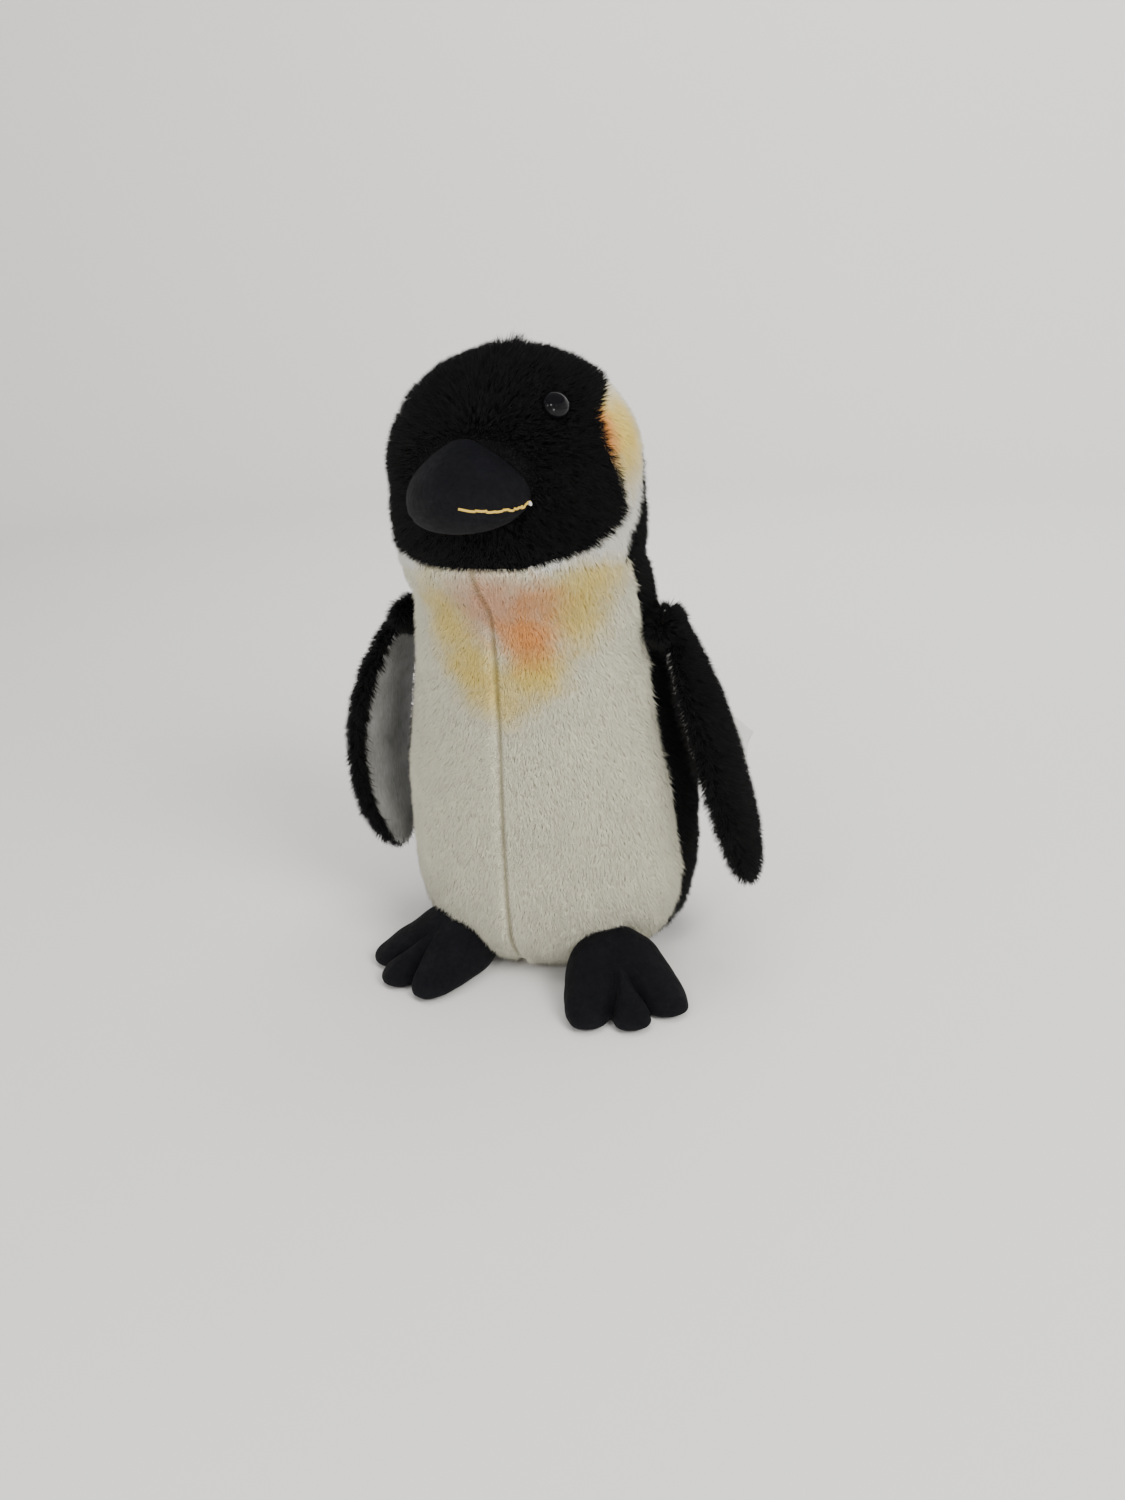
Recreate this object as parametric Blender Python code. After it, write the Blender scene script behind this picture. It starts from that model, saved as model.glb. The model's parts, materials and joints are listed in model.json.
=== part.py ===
"""A standing plush penguin, cut and stuffed like the real toy.

Metres, +Z up, the toy faces -Y and its own left side is +X. The origin is the middle of the flat
base, on the floor. Fabric panels are thin shells that share one set of surface functions, and the
stuffing under them is the same surface moved inwards, so nothing touches and nothing is loose.
"""
import math

import bmesh
import bpy
import numpy as np

# ---- driving dimensions ---------------------------------------------------------------------
TORSO_WIDTH = 0.144  # widest part of the belly
TORSO_DEPTH = 0.131  # front to back at the same height
NECK_HEIGHT = 0.188  # height of the point that the head turns and nods about
NECK_FORWARD = 0.014  # how far that point lies in front of the base's middle
HEAD_WIDTH = 0.112
HEAD_DEPTH = 0.116
HEAD_RISE = 0.049  # from the head's widest level to its crown
HEAD_DROP = 0.060  # from there down to where its sides would close if the neck were not there
HEAD_LIFT = 0.054  # from the neck point up to the head's widest level
HEAD_FORWARD = 0.008  # from the neck point forwards to the head's middle
RIM_ANGLE = math.radians(16)  # how far above the neck point the hood's edge starts

SKIN = 0.003  # pile fabric: backing and the dense foot of the pile
SMOOTH_SKIN = 0.002  # short nap fabric of the beak and the feet
BASE_SKIN = 0.003
SEAM_GAP = 0.0004  # between two panels at a seam
FILL_GAP = 0.0008  # between a panel and the stuffing under it
HEAD_FILL_GAP = 0.0014  # the same in the head, whose facets are larger
HEAD_FILL_WALL = 0.002  # thinnest stuffing between the neck's ball and the head's fabric
SWING_GAP = 0.001  # between a piece that swings and the torso

BEAK_WIDTH = 0.056
BEAK_HEIGHT = 0.036
BEAK_LENGTH = 0.0255  # tip beyond the face
BEAK_DROP = 0.005  # how much lower the tip is than the middle of its base
BEAK_LEVEL = math.radians(0)  # middle of the base on the head, seen from the head's middle
BEAK_TAPER = 0.28  # how much narrower the base is at its top than half way up
BEAK_LIFT = 0.0007  # clear of the face
BEAK_CLOSED = 0.995  # share of the beak's length that its two covers reach
BEAK_FILLED = 0.97  # share that its stuffing reaches
MOUTH_ANGLE = math.radians(-30)  # where upper and lower beak meet, round the beak's axis
MOUTH_THREAD = 0.0009  # thickness
MOUTH_START, MOUTH_END = 0.10, 0.82  # shares of the beak's length that the thread runs between
MOUTH_WAVE = 0.035  # how far the stitches wander, in radians round the beak
THREAD_GAP = 0.0003  # under the thread

EYE_SIDE = {"left": math.radians(45), "right": math.radians(52)}  # round the head from the nose
EYE_LEVEL = math.radians(30)
EYE_DIAMETER = 0.0105
EYE_DOME = 0.0046
EYE_LIFT = 0.0003  # clear of the hood
SHANK_DIAMETER = 0.003
SHANK_LENGTH = 0.0125
WASHER_DIAMETER = 0.012
WASHER_THICKNESS = 0.0014
BORE_GAP = 0.0003  # all round a shank or a washer
WASHER_SEAT = 0.0011  # between the washer's middle and the curved inside of the hood
SHANK_HOLE = (-0.009, 0.006)  # the cutter for a shank's hole, below and above the hood's outside
POCKET_TOP = 0.004  # the cutter for a washer's pocket ends above the hood's outside

WING_LENGTH = 0.127
WING_CHORD = 0.050
WING_THICKNESS = 0.0145
WING_ROOT_HEIGHT = 0.169
WING_FLARE = math.radians(5)  # front edge turned outwards
WING_SPLAY = {"left": math.radians(17), "right": math.radians(7)}
WING_BOW = {"left": 0.002, "right": 0.015}
WING_ROOT_CHORD = 0.74  # chord at the root, as a share of the widest
WING_ROOT_END, WING_TIP_END = 2.4, 4.5  # power of the curve that rounds an end: higher is blunter
WING_OPEN = 0.004  # share of the length left off each end, where a grid would shrink to a point

FOOT_WIDTH = 0.066
FOOT_HEIGHT = 0.0165
HEEL_CLEAR = 0.012  # the belly overhangs the heel above this height
FOOT_PLACE = {"left": math.radians(42), "right": math.radians(34)}  # round the body from the front
FOOT_TOE_OUT = {"left": math.radians(33), "right": math.radians(34)}

PELLET_BAG_DIAMETER = 0.070
PELLET_BAG_HEIGHT = 0.020
BAG_SHAPE = ((0, 0.86), (0.20, 1.0), (0.70, 1.0), (1.0, 0.78))  # height, radius, as shares
POCKET_SHAPE = ((0, 1.0), (0.72, 1.0))  # the same for the straight part of the bag's pocket
POCKET_ROOF = 0.80  # radius of the pocket's top, as a share

LABEL_WIDTH = 0.014
LABEL_LENGTH = 0.014
LABEL_THICKNESS = 0.0005
LABEL_PLACE = 0.57  # share of the wing's length from its root
LABEL_WAY = (0.35, 0.93, 0.12)  # the way it stands out of the seam
LABEL_GAP = 0.0008

# Shape of the torso by share of its height: width, front depth and back depth as shares of the
# widest, and how far the section's middle lies in front of the base's middle as a share of the
# neck point's own place.
TORSO_SHAPE = (
    (0.00, 0.56, 0.56, 0.60, 0.15),
    (0.045, 0.75, 0.75, 0.82, 0.18),
    (0.13, 0.93, 0.93, 0.97, 0.13),
    (0.27, 1.00, 0.99, 1.00, 0.00),
    (0.46, 1.00, 0.98, 1.00, 0.00),
    (0.64, 0.93, 0.92, 0.94, 0.10),
    (0.80, 0.85, 0.85, 0.85, 0.36),
    (0.93, 0.79, 0.77, 0.77, 0.80),
    (1.00, 0.76, 0.74, 0.74, 1.00),
)
# Angle of the side seam round the body from the middle of the front, by share of height.
SIDE_SEAM = ((0.0, 84), (0.15, 84), (0.40, 77), (0.62, 72), (0.85, 78), (1.0, 84))
# The cheek patch on the side of the head: its two seams by share of the way from rim to crown.
CHEEK_FRONT = (
    (0.0, 34), (0.10, 60), (0.20, 78), (0.28, 82), (0.38, 73), (0.46, 67), (0.55, 72), (0.70, 116),
)
CHEEK_BACK = ((0.0, 82), (0.10, 88), (0.20, 102), (0.30, 116), (0.50, 130), (0.60, 136), (0.70, 138))
CHEEK_TOP = 7  # the patch ends at this head row
CROWN_SEAM = 128  # above the patch, hood and nape meet here
CROWN_SHARE = 0.97  # the stuffing's last ring, just short of the crown
# Outline of a foot: radius at each angle from its pointing direction, as shares of half its width.
TOE_OUTLINE = (
    (0, 1.10), (11, 1.04), (20, 0.88), (29, 1.04), (42, 1.14), (56, 1.03), (78, 0.80), (105, 0.60),
    (140, 0.47), (180, 0.45),
)

TORSO_ROWS = 11
FRONT_COLUMNS = 8
BACK_COLUMNS = 9
HEAD_ROWS = 10
HOOD_COLUMNS = 9
CHEEK_COLUMNS = 4
NAPE_COLUMNS = 16
BEAK_ROWS = 7
WING_ROWS = 11
WING_COLUMNS = 6
FOOT_ROWS = 4
FOOT_COLUMNS = 48
BALL_COLUMNS = 40
SEAM_RADIUS = 0.6  # share of the half width at which a torso seam has its full gap
POLE = math.radians(86)  # highest ring of a ball

SIDES = {"left": 1, "right": -1}
BLACK_PILE = ("black_pile", (0.012, 0.012, 0.014), 0.95)
WHITE_PILE = ("white_pile", (0.72, 0.71, 0.62), 0.95)
GREY_PILE = ("pale_grey_pile", (0.50, 0.50, 0.48), 0.95)
DYED_PILE = ("dyed_white_pile", (0.80, 0.52, 0.16), 0.95)
BLACK_SMOOTH = ("black_short_nap", (0.014, 0.014, 0.016), 0.9)
FILLING = ("polyester_filling", (0.86, 0.86, 0.84), 1.0)
PELLETS = ("pellet_bag_cotton", (0.62, 0.56, 0.42), 0.9)
BASE_CLOTH = ("base_cloth", (0.55, 0.50, 0.42), 0.95)
EYE_PLASTIC = ("eye_plastic", (0.01, 0.01, 0.012), 0.08)
WASHER_PLASTIC = ("washer_plastic", (0.75, 0.75, 0.72), 0.5)
GOLD_THREAD = ("gold_thread", (0.62, 0.40, 0.06), 0.6)
LABEL_SATIN = ("label_satin", (0.60, 0.60, 0.58), 0.5)


# ---- helpers --------------------------------------------------------------------------------
def clear_scene():
    for old in list(bpy.data.objects):
        bpy.data.objects.remove(old, do_unlink=True)


def material(look):
    name, colour, roughness = look
    found = bpy.data.materials.get(name)
    if found:
        return found
    made = bpy.data.materials.new(name)
    made.use_nodes = True
    shader = made.node_tree.nodes["Principled BSDF"]
    shader.inputs["Base Color"].default_value = (*colour, 1)
    shader.inputs["Roughness"].default_value = roughness
    shader.inputs["Metallic"].default_value = 0
    made.diffuse_color = (*colour, 1)
    return made


def smooth(rows, column, at):
    """Value at `at` on the smooth curve through a table's column (cubic, no overshoot)."""
    x = np.array([row[0] for row in rows], float)
    y = np.array([row[column] for row in rows], float)
    step = np.diff(x)
    rise = np.diff(y) / step
    slope = np.zeros_like(y)
    same_way = rise[:-1] * rise[1:] > 0
    mean = 2 * rise[:-1] * rise[1:] / np.where(same_way, rise[:-1] + rise[1:], 1)
    slope[1:-1] = np.where(same_way, mean, 0)
    slope[0], slope[-1] = rise[0], rise[-1]
    at = np.clip(np.asarray(at, float), x[0], x[-1])
    i = np.clip(np.searchsorted(x, at, side="right") - 1, 0, len(step) - 1)
    t = (at - x[i]) / step[i]
    return (
        y[i] * (1 + 2 * t) * (1 - t) ** 2
        + y[i + 1] * t * t * (3 - 2 * t)
        + step[i] * (slope[i] * t * (1 - t) ** 2 + slope[i + 1] * t * t * (t - 1))
    )


def add_object(name, bm, look, parent=None):
    """Turns a bmesh, given in world metres, into a named object under its parent."""
    bmesh.ops.remove_doubles(bm, verts=bm.verts, dist=1e-6)
    bmesh.ops.dissolve_degenerate(bm, edges=bm.edges, dist=1e-6)
    bmesh.ops.triangulate(bm, faces=bm.faces)
    bmesh.ops.recalc_face_normals(bm, faces=bm.faces)
    mesh = bpy.data.meshes.new(name)
    if parent:
        bmesh.ops.translate(bm, verts=bm.verts, vec=-parent.location)
    bm.to_mesh(mesh)
    bm.free()
    mesh.shade_smooth()
    mesh.set_sharp_from_angle(angle=math.radians(40))
    made = bpy.data.objects.new(name, mesh)
    made.data.materials.append(material(look))
    made.parent = parent
    bpy.context.collection.objects.link(made)
    return made


def add_pivot(name, place):
    pivot = bpy.data.objects.new(name, None)
    pivot.location = place
    pivot.empty_display_size = 0.01
    bpy.context.collection.objects.link(pivot)
    return pivot


def quads(bm, grid, wrap=False, flip=False):
    rows, columns = len(grid), len(grid[0])
    for i in range(rows - 1):
        for j in range(columns if wrap else columns - 1):
            k = (j + 1) % columns
            corners = [grid[i][j], grid[i][k], grid[i + 1][k], grid[i + 1][j]]
            bm.faces.new(corners[::-1] if flip else corners)


def add_verts(bm, points):
    return [[bm.verts.new(p) for p in row] for row in points]


def panel(outer, inner):
    """Closed shell between two grids of points with the same rows and columns."""
    bm = bmesh.new()
    out, ins = add_verts(bm, outer), add_verts(bm, inner)
    quads(bm, out)
    quads(bm, ins, flip=True)
    around = [(i, 0) for i in range(len(out))]
    around += [(len(out) - 1, j) for j in range(1, len(out[0]))]
    around += [(i, len(out[0]) - 1) for i in range(len(out) - 2, -1, -1)]
    around += [(0, j) for j in range(len(out[0]) - 2, 0, -1)]
    for (i, j), (k, m) in zip(around, around[1:] + around[:1]):
        bm.faces.new([out[i][j], out[k][m], ins[k][m], ins[i][j]])
    return bm


def lathe(rings):
    """Closed body through rings of points; the first and the last ring are filled."""
    bm = bmesh.new()
    grid = add_verts(bm, rings)
    quads(bm, grid, wrap=True)
    for ring in (grid[0], grid[-1]):
        centre = bm.verts.new(sum((v.co for v in ring), start=ring[0].co * 0) / len(ring))
        for a, b in zip(ring, ring[1:] + ring[:1]):
            bm.faces.new([a, b, centre])
    return bm


def full_turn(steps):
    return [2 * math.pi * k / steps for k in range(steps)]


def grid_of(function, rows, columns):
    return [[function(row, column) for column in columns] for row in rows]


def cut(target, cutter):
    """Takes a cutter out of a target with an exact Boolean; the cutter stays as a guide."""
    cutter.hide_render = True
    cutter.display_type = "WIRE"
    cutter.hide_set(True)
    modifier = target.modifiers.new("cut_" + cutter.name, "BOOLEAN")
    modifier.operation = "DIFFERENCE"
    modifier.solver = "EXACT"
    modifier.object = cutter


# ---- torso ----------------------------------------------------------------------------------
NECK_POINT = np.array([0, -NECK_FORWARD, NECK_HEIGHT])
TORSO_TOP = NECK_HEIGHT - 0.002
FILL_TOP = NECK_HEIGHT - 0.009


def torso_point(angle, height, inset=0.0):
    """Point on the torso, `angle` round from the front, moved inwards by `inset`."""
    share = height / NECK_HEIGHT
    half_width = smooth(TORSO_SHAPE, 1, share) * TORSO_WIDTH / 2 - inset
    column = 2 if math.cos(angle) > 0 else 3
    depth = smooth(TORSO_SHAPE, column, share) * TORSO_DEPTH / 2 - inset
    forward = smooth(TORSO_SHAPE, 4, share) * NECK_FORWARD
    return np.array([half_width * math.sin(angle), -forward - depth * math.cos(angle), height])


def torso_levels(low, high):
    """Heights from low to high, closer together at the rounded bottom."""
    return [low + (high - low) * (k / TORSO_ROWS) ** 1.25 for k in range(TORSO_ROWS + 1)]


def side_seam(height):
    return math.radians(float(smooth(SIDE_SEAM, 1, height / NECK_HEIGHT)))


def seam_turn(radius):
    """Angle that keeps half a seam gap at this radius."""
    return SEAM_GAP / 2 / radius


def torso_panel(levels, side, start, stop, columns):
    """Panel between two seam angles, each given as a function of height."""

    def at(height, share, inset):
        turn = seam_turn(TORSO_WIDTH / 2 * SEAM_RADIUS)
        first, last = start(height) + turn, stop(height) - turn
        return torso_point(side * (first + (last - first) * share), height, inset)

    shares = [k / columns for k in range(columns + 1)]
    return panel(
        grid_of(lambda z, s: at(z, s, 0), levels, shares),
        grid_of(lambda z, s: at(z, s, SKIN), levels, shares),
    )


def torso_ring(height, inset):
    """All columns of both sides, on the same angles as the panels."""
    seam = side_seam(height)
    half = [seam * k / FRONT_COLUMNS for k in range(FRONT_COLUMNS)]
    half += [seam + (math.pi - seam) * k / BACK_COLUMNS for k in range(BACK_COLUMNS + 1)]
    angles = half + [-a for a in half[-2:0:-1]]
    return [torso_point(a, height, inset) for a in angles]


def build_torso():
    levels = torso_levels(BASE_SKIN + SEAM_GAP, TORSO_TOP)
    for side_name, side in SIDES.items():
        front = torso_panel(levels, side, lambda z: 0.0, side_seam, FRONT_COLUMNS)
        add_object("front_panel_" + side_name, front, WHITE_PILE)
        back = torso_panel(levels, side, side_seam, lambda z: math.pi, BACK_COLUMNS)
        add_object("back_panel_" + side_name, back, BLACK_PILE)

    rings = [torso_ring(0, 0.0), torso_ring(BASE_SKIN, 0.0)]
    add_object("base_panel", lathe(rings), BASE_CLOTH)

    bag_foot = BASE_SKIN + FILL_GAP
    bag_y = (torso_point(0, bag_foot)[1] + torso_point(math.pi, bag_foot)[1]) / 2
    fill_levels = torso_levels(BASE_SKIN + FILL_GAP, FILL_TOP)
    rings = [torso_ring(z, SKIN + FILL_GAP) for z in reversed(fill_levels)]
    turns = [math.atan2(p[0], -(p[1] - bag_y)) for p in rings[-1]]

    def circle(radius, height):
        """Ring round the pellet bag, on the same angles as the torso's lowest ring."""
        return [np.array([radius * math.sin(a), bag_y - radius * math.cos(a), height]) for a in turns]

    bag_radius = PELLET_BAG_DIAMETER / 2
    pocket = bag_radius + FILL_GAP
    rings += [circle(pocket * r, bag_foot + PELLET_BAG_HEIGHT * z) for z, r in POCKET_SHAPE]
    rings.append(circle(pocket * POCKET_ROOF, bag_foot + PELLET_BAG_HEIGHT + FILL_GAP))
    add_object("body_stuffing", lathe(rings), FILLING)

    bag = [circle(bag_radius * r, bag_foot + PELLET_BAG_HEIGHT * z) for z, r in BAG_SHAPE]
    add_object("pellet_bag", lathe(bag), PELLETS)


# ---- head -----------------------------------------------------------------------------------
HEAD_MIDDLE = NECK_POINT + np.array([0, -HEAD_FORWARD, HEAD_LIFT])


def head_point(angle, up, inset=0.0):
    """Point on the head: round from the nose, then up from the widest level.

    Above that level the head is an ellipsoid, below it the sides stay nearly upright.
    """
    rise = math.sin(up)
    spread = math.cos(up) if up >= 0 else math.sqrt(1 - rise**6)
    reach = HEAD_RISE if up >= 0 else HEAD_DROP
    return HEAD_MIDDLE + np.array(
        [
            (HEAD_WIDTH / 2 - inset) * spread * math.sin(angle),
            -(HEAD_DEPTH / 2 - inset) * spread * math.cos(angle),
            (reach - inset) * rise,
        ]
    )


def rim_level(angle, inset):
    """Lowest level of the head at this angle: where it meets the cone of RIM_ANGLE."""
    low, high = math.radians(-80), 0.0
    for _ in range(40):
        middle = (low + high) / 2
        from_neck = head_point(angle, middle, inset) - NECK_POINT
        above = from_neck[2] > math.tan(RIM_ANGLE) * math.hypot(from_neck[0], from_neck[1])
        low, high = (low, middle) if above else (middle, high)
    return high


def head_at(angle, share, inset):
    """Point on the head, `share` of the way from its rim to its crown."""
    low = rim_level(angle, inset)
    return head_point(angle, low + (math.pi / 2 - low) * share, inset)


def row_share(row):
    return row / HEAD_ROWS


def cheek_edges(row):
    """Front and back seam of the cheek patch at a head row, in radians."""
    if row > CHEEK_TOP:
        return math.radians(CROWN_SEAM), math.radians(CROWN_SEAM)
    front = float(smooth(CHEEK_FRONT, 1, row_share(row)))
    back = float(smooth(CHEEK_BACK, 1, row_share(row)))
    return math.radians(front), math.radians(back)


def head_panel(rows, start, stop, columns, close_top):
    """Panel of the head between two seam angles, each given as a function of the row."""

    def at(row, share, inset):
        first, last = start(row), stop(row)
        turn = seam_turn(max(0.25, math.cos(row_share(row) * math.pi / 2)) * HEAD_WIDTH / 2)
        first, last = first + turn, last - turn
        reach = row_share(row)
        if close_top and row == HEAD_ROWS:
            reach = 1 - SEAM_GAP / HEAD_RISE
        return head_at(first + (last - first) * share, reach, inset)

    shares = [k / columns for k in range(columns + 1)]
    return panel(
        grid_of(lambda r, s: at(r, s, 0), rows, shares),
        grid_of(lambda r, s: at(r, s, SKIN), rows, shares),
    )


def head_ring(share, inset):
    return [head_at(a, share, inset) for a in full_turn(BALL_COLUMNS)]


def mirrored(bm):
    bmesh.ops.scale(bm, vec=(-1, 1, 1), verts=bm.verts)
    return bm


def build_head(pivot):
    rows = list(range(HEAD_ROWS + 1))
    panels = {}
    for side_name in SIDES:
        hood = head_panel(rows, lambda r: 0.0, lambda r: cheek_edges(r)[0], HOOD_COLUMNS, True)
        cheek = head_panel(
            rows[: CHEEK_TOP + 1],
            lambda r: cheek_edges(r)[0],
            lambda r: cheek_edges(r)[1],
            CHEEK_COLUMNS,
            False,
        )
        if side_name == "right":
            hood, cheek = mirrored(hood), mirrored(cheek)
        panels[side_name] = add_object("hood_" + side_name, hood, BLACK_PILE, pivot)
        add_object("cheek_" + side_name, cheek, DYED_PILE, pivot)
    nape = head_panel(
        rows,
        lambda r: cheek_edges(r)[1],
        lambda r: 2 * math.pi - cheek_edges(r)[1],
        NAPE_COLUMNS,
        True,
    )
    add_object("nape_panel", nape, BLACK_PILE, pivot)

    inset = SKIN + HEAD_FILL_GAP
    rings = [head_ring(min(row_share(row), CROWN_SHARE), inset) for row in reversed(rows)]
    socket = neck_ball_radius() + FILL_GAP
    rings += grid_of(
        lambda up, a: ball_point(a, up, socket),
        np.linspace(RIM_ANGLE, POLE, 7),
        full_turn(BALL_COLUMNS),
    )
    stuffing = add_object("head_stuffing", lathe(rings), FILLING, pivot)
    return panels, stuffing


# ---- neck -----------------------------------------------------------------------------------
def neck_ball_radius():
    """The largest ball about the neck point that fits inside both torso and head fabric."""
    turns = full_turn(BALL_COLUMNS)
    rims = [np.linalg.norm(head_at(a, 0, SKIN + HEAD_FILL_GAP) - NECK_POINT) for a in turns]
    collars = [np.linalg.norm(torso_point(a, TORSO_TOP, SKIN) - NECK_POINT) for a in turns]
    return min(rims + collars) - HEAD_FILL_WALL - FILL_GAP


def ball_point(angle, up, radius):
    return NECK_POINT + radius * np.array(
        [math.sin(angle) * math.cos(up), -math.cos(angle) * math.cos(up), math.sin(up)]
    )


def build_neck():
    """Stuffed ball in the top of the torso, flat underneath; the head's hollow turns on it."""
    pivot = add_pivot("neck_pivot", NECK_POINT)
    radius = neck_ball_radius()
    low = math.asin((FILL_TOP + FILL_GAP - NECK_HEIGHT) / radius)
    levels = np.linspace(low, POLE, 11)
    rings = grid_of(lambda up, a: ball_point(a, up, radius), levels, full_turn(32))
    add_object("neck_stuffing", lathe(rings), FILLING, pivot)


# ---- eyes -----------------------------------------------------------------------------------
def eye_frame(side_name):
    """Place and axes of an eye: its outward direction, and two directions across it."""
    angle = SIDES[side_name] * EYE_SIDE[side_name]
    place = head_point(angle, EYE_LEVEL)
    step = 0.01
    round_way = head_point(angle + step, EYE_LEVEL) - head_point(angle - step, EYE_LEVEL)
    up_way = head_point(angle, EYE_LEVEL + step) - head_point(angle, EYE_LEVEL - step)
    out = np.cross(round_way, up_way)
    out /= np.linalg.norm(out)
    across = round_way / np.linalg.norm(round_way)
    return place, out, across, np.cross(out, across)


def turned(place, out, across, up, outline, steps=24):
    """Turned body about an outward axis; outline gives (distance outwards, radius)."""
    return lathe(
        [
            [
                place + out * along + radius * (across * math.cos(a) + up * math.sin(a))
                for a in full_turn(steps)
            ]
            for along, radius in outline
        ]
    )


def build_eyes(pivot, panels, stuffing):
    for side_name in SIDES:
        axes = eye_frame(side_name)
        radius = EYE_DIAMETER / 2
        dome = [
            (EYE_LIFT + EYE_DOME * math.sin(t), radius * math.cos(t))
            for t in np.linspace(0, math.radians(84), 7)
        ]
        shank = SHANK_DIAMETER / 2
        outline = [(-SHANK_LENGTH, shank), (EYE_LIFT, shank), *dome]
        add_object("eye_" + side_name, turned(*axes, outline), EYE_PLASTIC, pivot)

        bore = shank + BORE_GAP
        sag = (WASHER_DIAMETER / 2) ** 2 / HEAD_RISE / 2
        top = -SKIN - sag - WASHER_SEAT
        low = top - WASHER_THICKNESS
        outer = WASHER_DIAMETER / 2
        washer = turned_ring(axes, bore, outer, low, top)
        add_object("eye_washer_" + side_name, washer, WASHER_PLASTIC, pivot)

        pocket = [(-SHANK_LENGTH - BORE_GAP, outer + BORE_GAP), (POCKET_TOP, outer + BORE_GAP)]
        cutter = add_object("eye_pocket_" + side_name, turned(*axes, pocket), FILLING, pivot)
        cut(stuffing, cutter)
        hole = [(height, bore) for height in SHANK_HOLE]
        cutter = add_object("shank_hole_" + side_name, turned(*axes, hole, 16), FILLING, pivot)
        cut(panels[side_name], cutter)


def turned_ring(axes, inner, outer, low, top, steps=24):
    """Flat ring about an outward axis."""
    place, out, across, up = axes
    bm = bmesh.new()
    corners = ((inner, low), (outer, low), (outer, top), (inner, top), (inner, low))
    grid = add_verts(
        bm,
        [
            [
                place + out * z + r * (across * math.cos(a) + up * math.sin(a))
                for a in full_turn(steps)
            ]
            for r, z in corners
        ],
    )
    quads(bm, grid, wrap=True)
    return bm


# ---- beak -----------------------------------------------------------------------------------
def beak_rim(angle, inset, lift, share=1.0):
    """Point over the face, on the beak's base outline or `share` of the way out to it.

    The outline is an oval that gets narrower towards its top.
    """
    half_turn = math.asin((BEAK_WIDTH / 2 - inset) / (HEAD_DEPTH / 2 + lift))
    half_tilt = (BEAK_HEIGHT / 2 - inset) / (HEAD_RISE + lift)
    taper = 1 - BEAK_TAPER * math.sin(angle)
    return head_point(
        share * half_turn * math.cos(angle) * taper,
        BEAK_LEVEL + share * half_tilt * math.sin(angle),
        -lift,
    )


def beak_point(angle, along, inset, lift):
    """Point on the beak, from its base on the face (0) to its tip (1), a rounded cone."""
    middle = head_point(0, BEAK_LEVEL, -lift)
    tip = middle + np.array([0, -(BEAK_LENGTH - inset), -BEAK_DROP])
    shrink = max(0.0, 1 - along**2.2) ** 0.5
    rim = beak_rim(angle, inset, lift)
    return middle + (tip - middle) * along + (rim - middle) * shrink


def build_beak(pivot):
    mouth = MOUTH_ANGLE
    steps = [math.sin(math.pi / 2 * k / BEAK_ROWS) for k in range(BEAK_ROWS + 1)]
    turn = SEAM_GAP / BEAK_HEIGHT
    spans = {
        "beak_upper": (mouth + turn, math.pi - mouth - turn, 14),
        "beak_lower": (math.pi - mouth + turn, 2 * math.pi + mouth - turn, 8),
    }
    for name, (first, last, columns) in spans.items():
        angles = [first + (last - first) * k / columns for k in range(columns + 1)]
        rows = [s * BEAK_CLOSED for s in steps]
        outer = grid_of(lambda s, a: beak_point(a, s, 0, BEAK_LIFT), rows, angles)
        inner = grid_of(lambda s, a: beak_point(a, s, SMOOTH_SKIN, BEAK_LIFT), rows, angles)
        add_object(name, panel(outer, inner), BLACK_SMOOTH, pivot)

    inset = SMOOTH_SKIN + FILL_GAP
    angles = full_turn(24)
    rows = [s * BEAK_FILLED for s in steps]
    rings = [[beak_rim(a, inset, BEAK_LIFT, share) for a in angles] for share in (0.15, 0.4, 0.7)]
    rings += grid_of(lambda s, a: beak_point(a, s, inset, BEAK_LIFT), rows, angles)
    add_object("beak_stuffing", lathe(rings), FILLING, pivot)

    for side_name, side in SIDES.items():
        angle = mouth if side > 0 else math.pi - mouth
        lift = MOUTH_THREAD / 2 + THREAD_GAP
        points = [
            beak_point(angle + MOUTH_WAVE * math.sin(k * 1.9), along, -lift, BEAK_LIFT)
            for k, along in enumerate(np.linspace(MOUTH_START, MOUTH_END, 9))
        ]
        add_tube("mouth_thread_" + side_name, points, MOUTH_THREAD / 2, GOLD_THREAD, pivot)


def add_tube(name, points, radius, look, parent):
    curve = bpy.data.curves.new(name, "CURVE")
    curve.dimensions = "3D"
    curve.bevel_depth = radius
    curve.bevel_resolution = 1
    curve.use_fill_caps = True
    spline = curve.splines.new("POLY")
    spline.points.add(len(points) - 1)
    for point, place in zip(spline.points, points):
        point.co = (*(place - np.array(parent.location)), 1)
    made = bpy.data.objects.new(name, curve)
    made.data.materials.append(material(look))
    made.parent = parent
    bpy.context.collection.objects.link(made)
    return made


# ---- wings ----------------------------------------------------------------------------------
def wing_root(side):
    """The wing's pivot: beside the torso, clear of it by half the wing and a gap."""
    shoulder = torso_point(math.pi / 2, WING_ROOT_HEIGHT)
    away = shoulder[0] + WING_THICKNESS / 2 + SWING_GAP
    return np.array([side * away, shoulder[1], WING_ROOT_HEIGHT])


def wing_middle(side_name, along):
    """Middle line of a wing: down and outwards, bowed away from the body."""
    side = SIDES[side_name]
    splay, bow = WING_SPLAY[side_name], WING_BOW[side_name]
    out = WING_LENGTH * along * math.sin(splay) + bow * 4 * along * (1 - along)
    return wing_root(side) + np.array([side * out, 0, -WING_LENGTH * along * math.cos(splay)])


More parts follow.
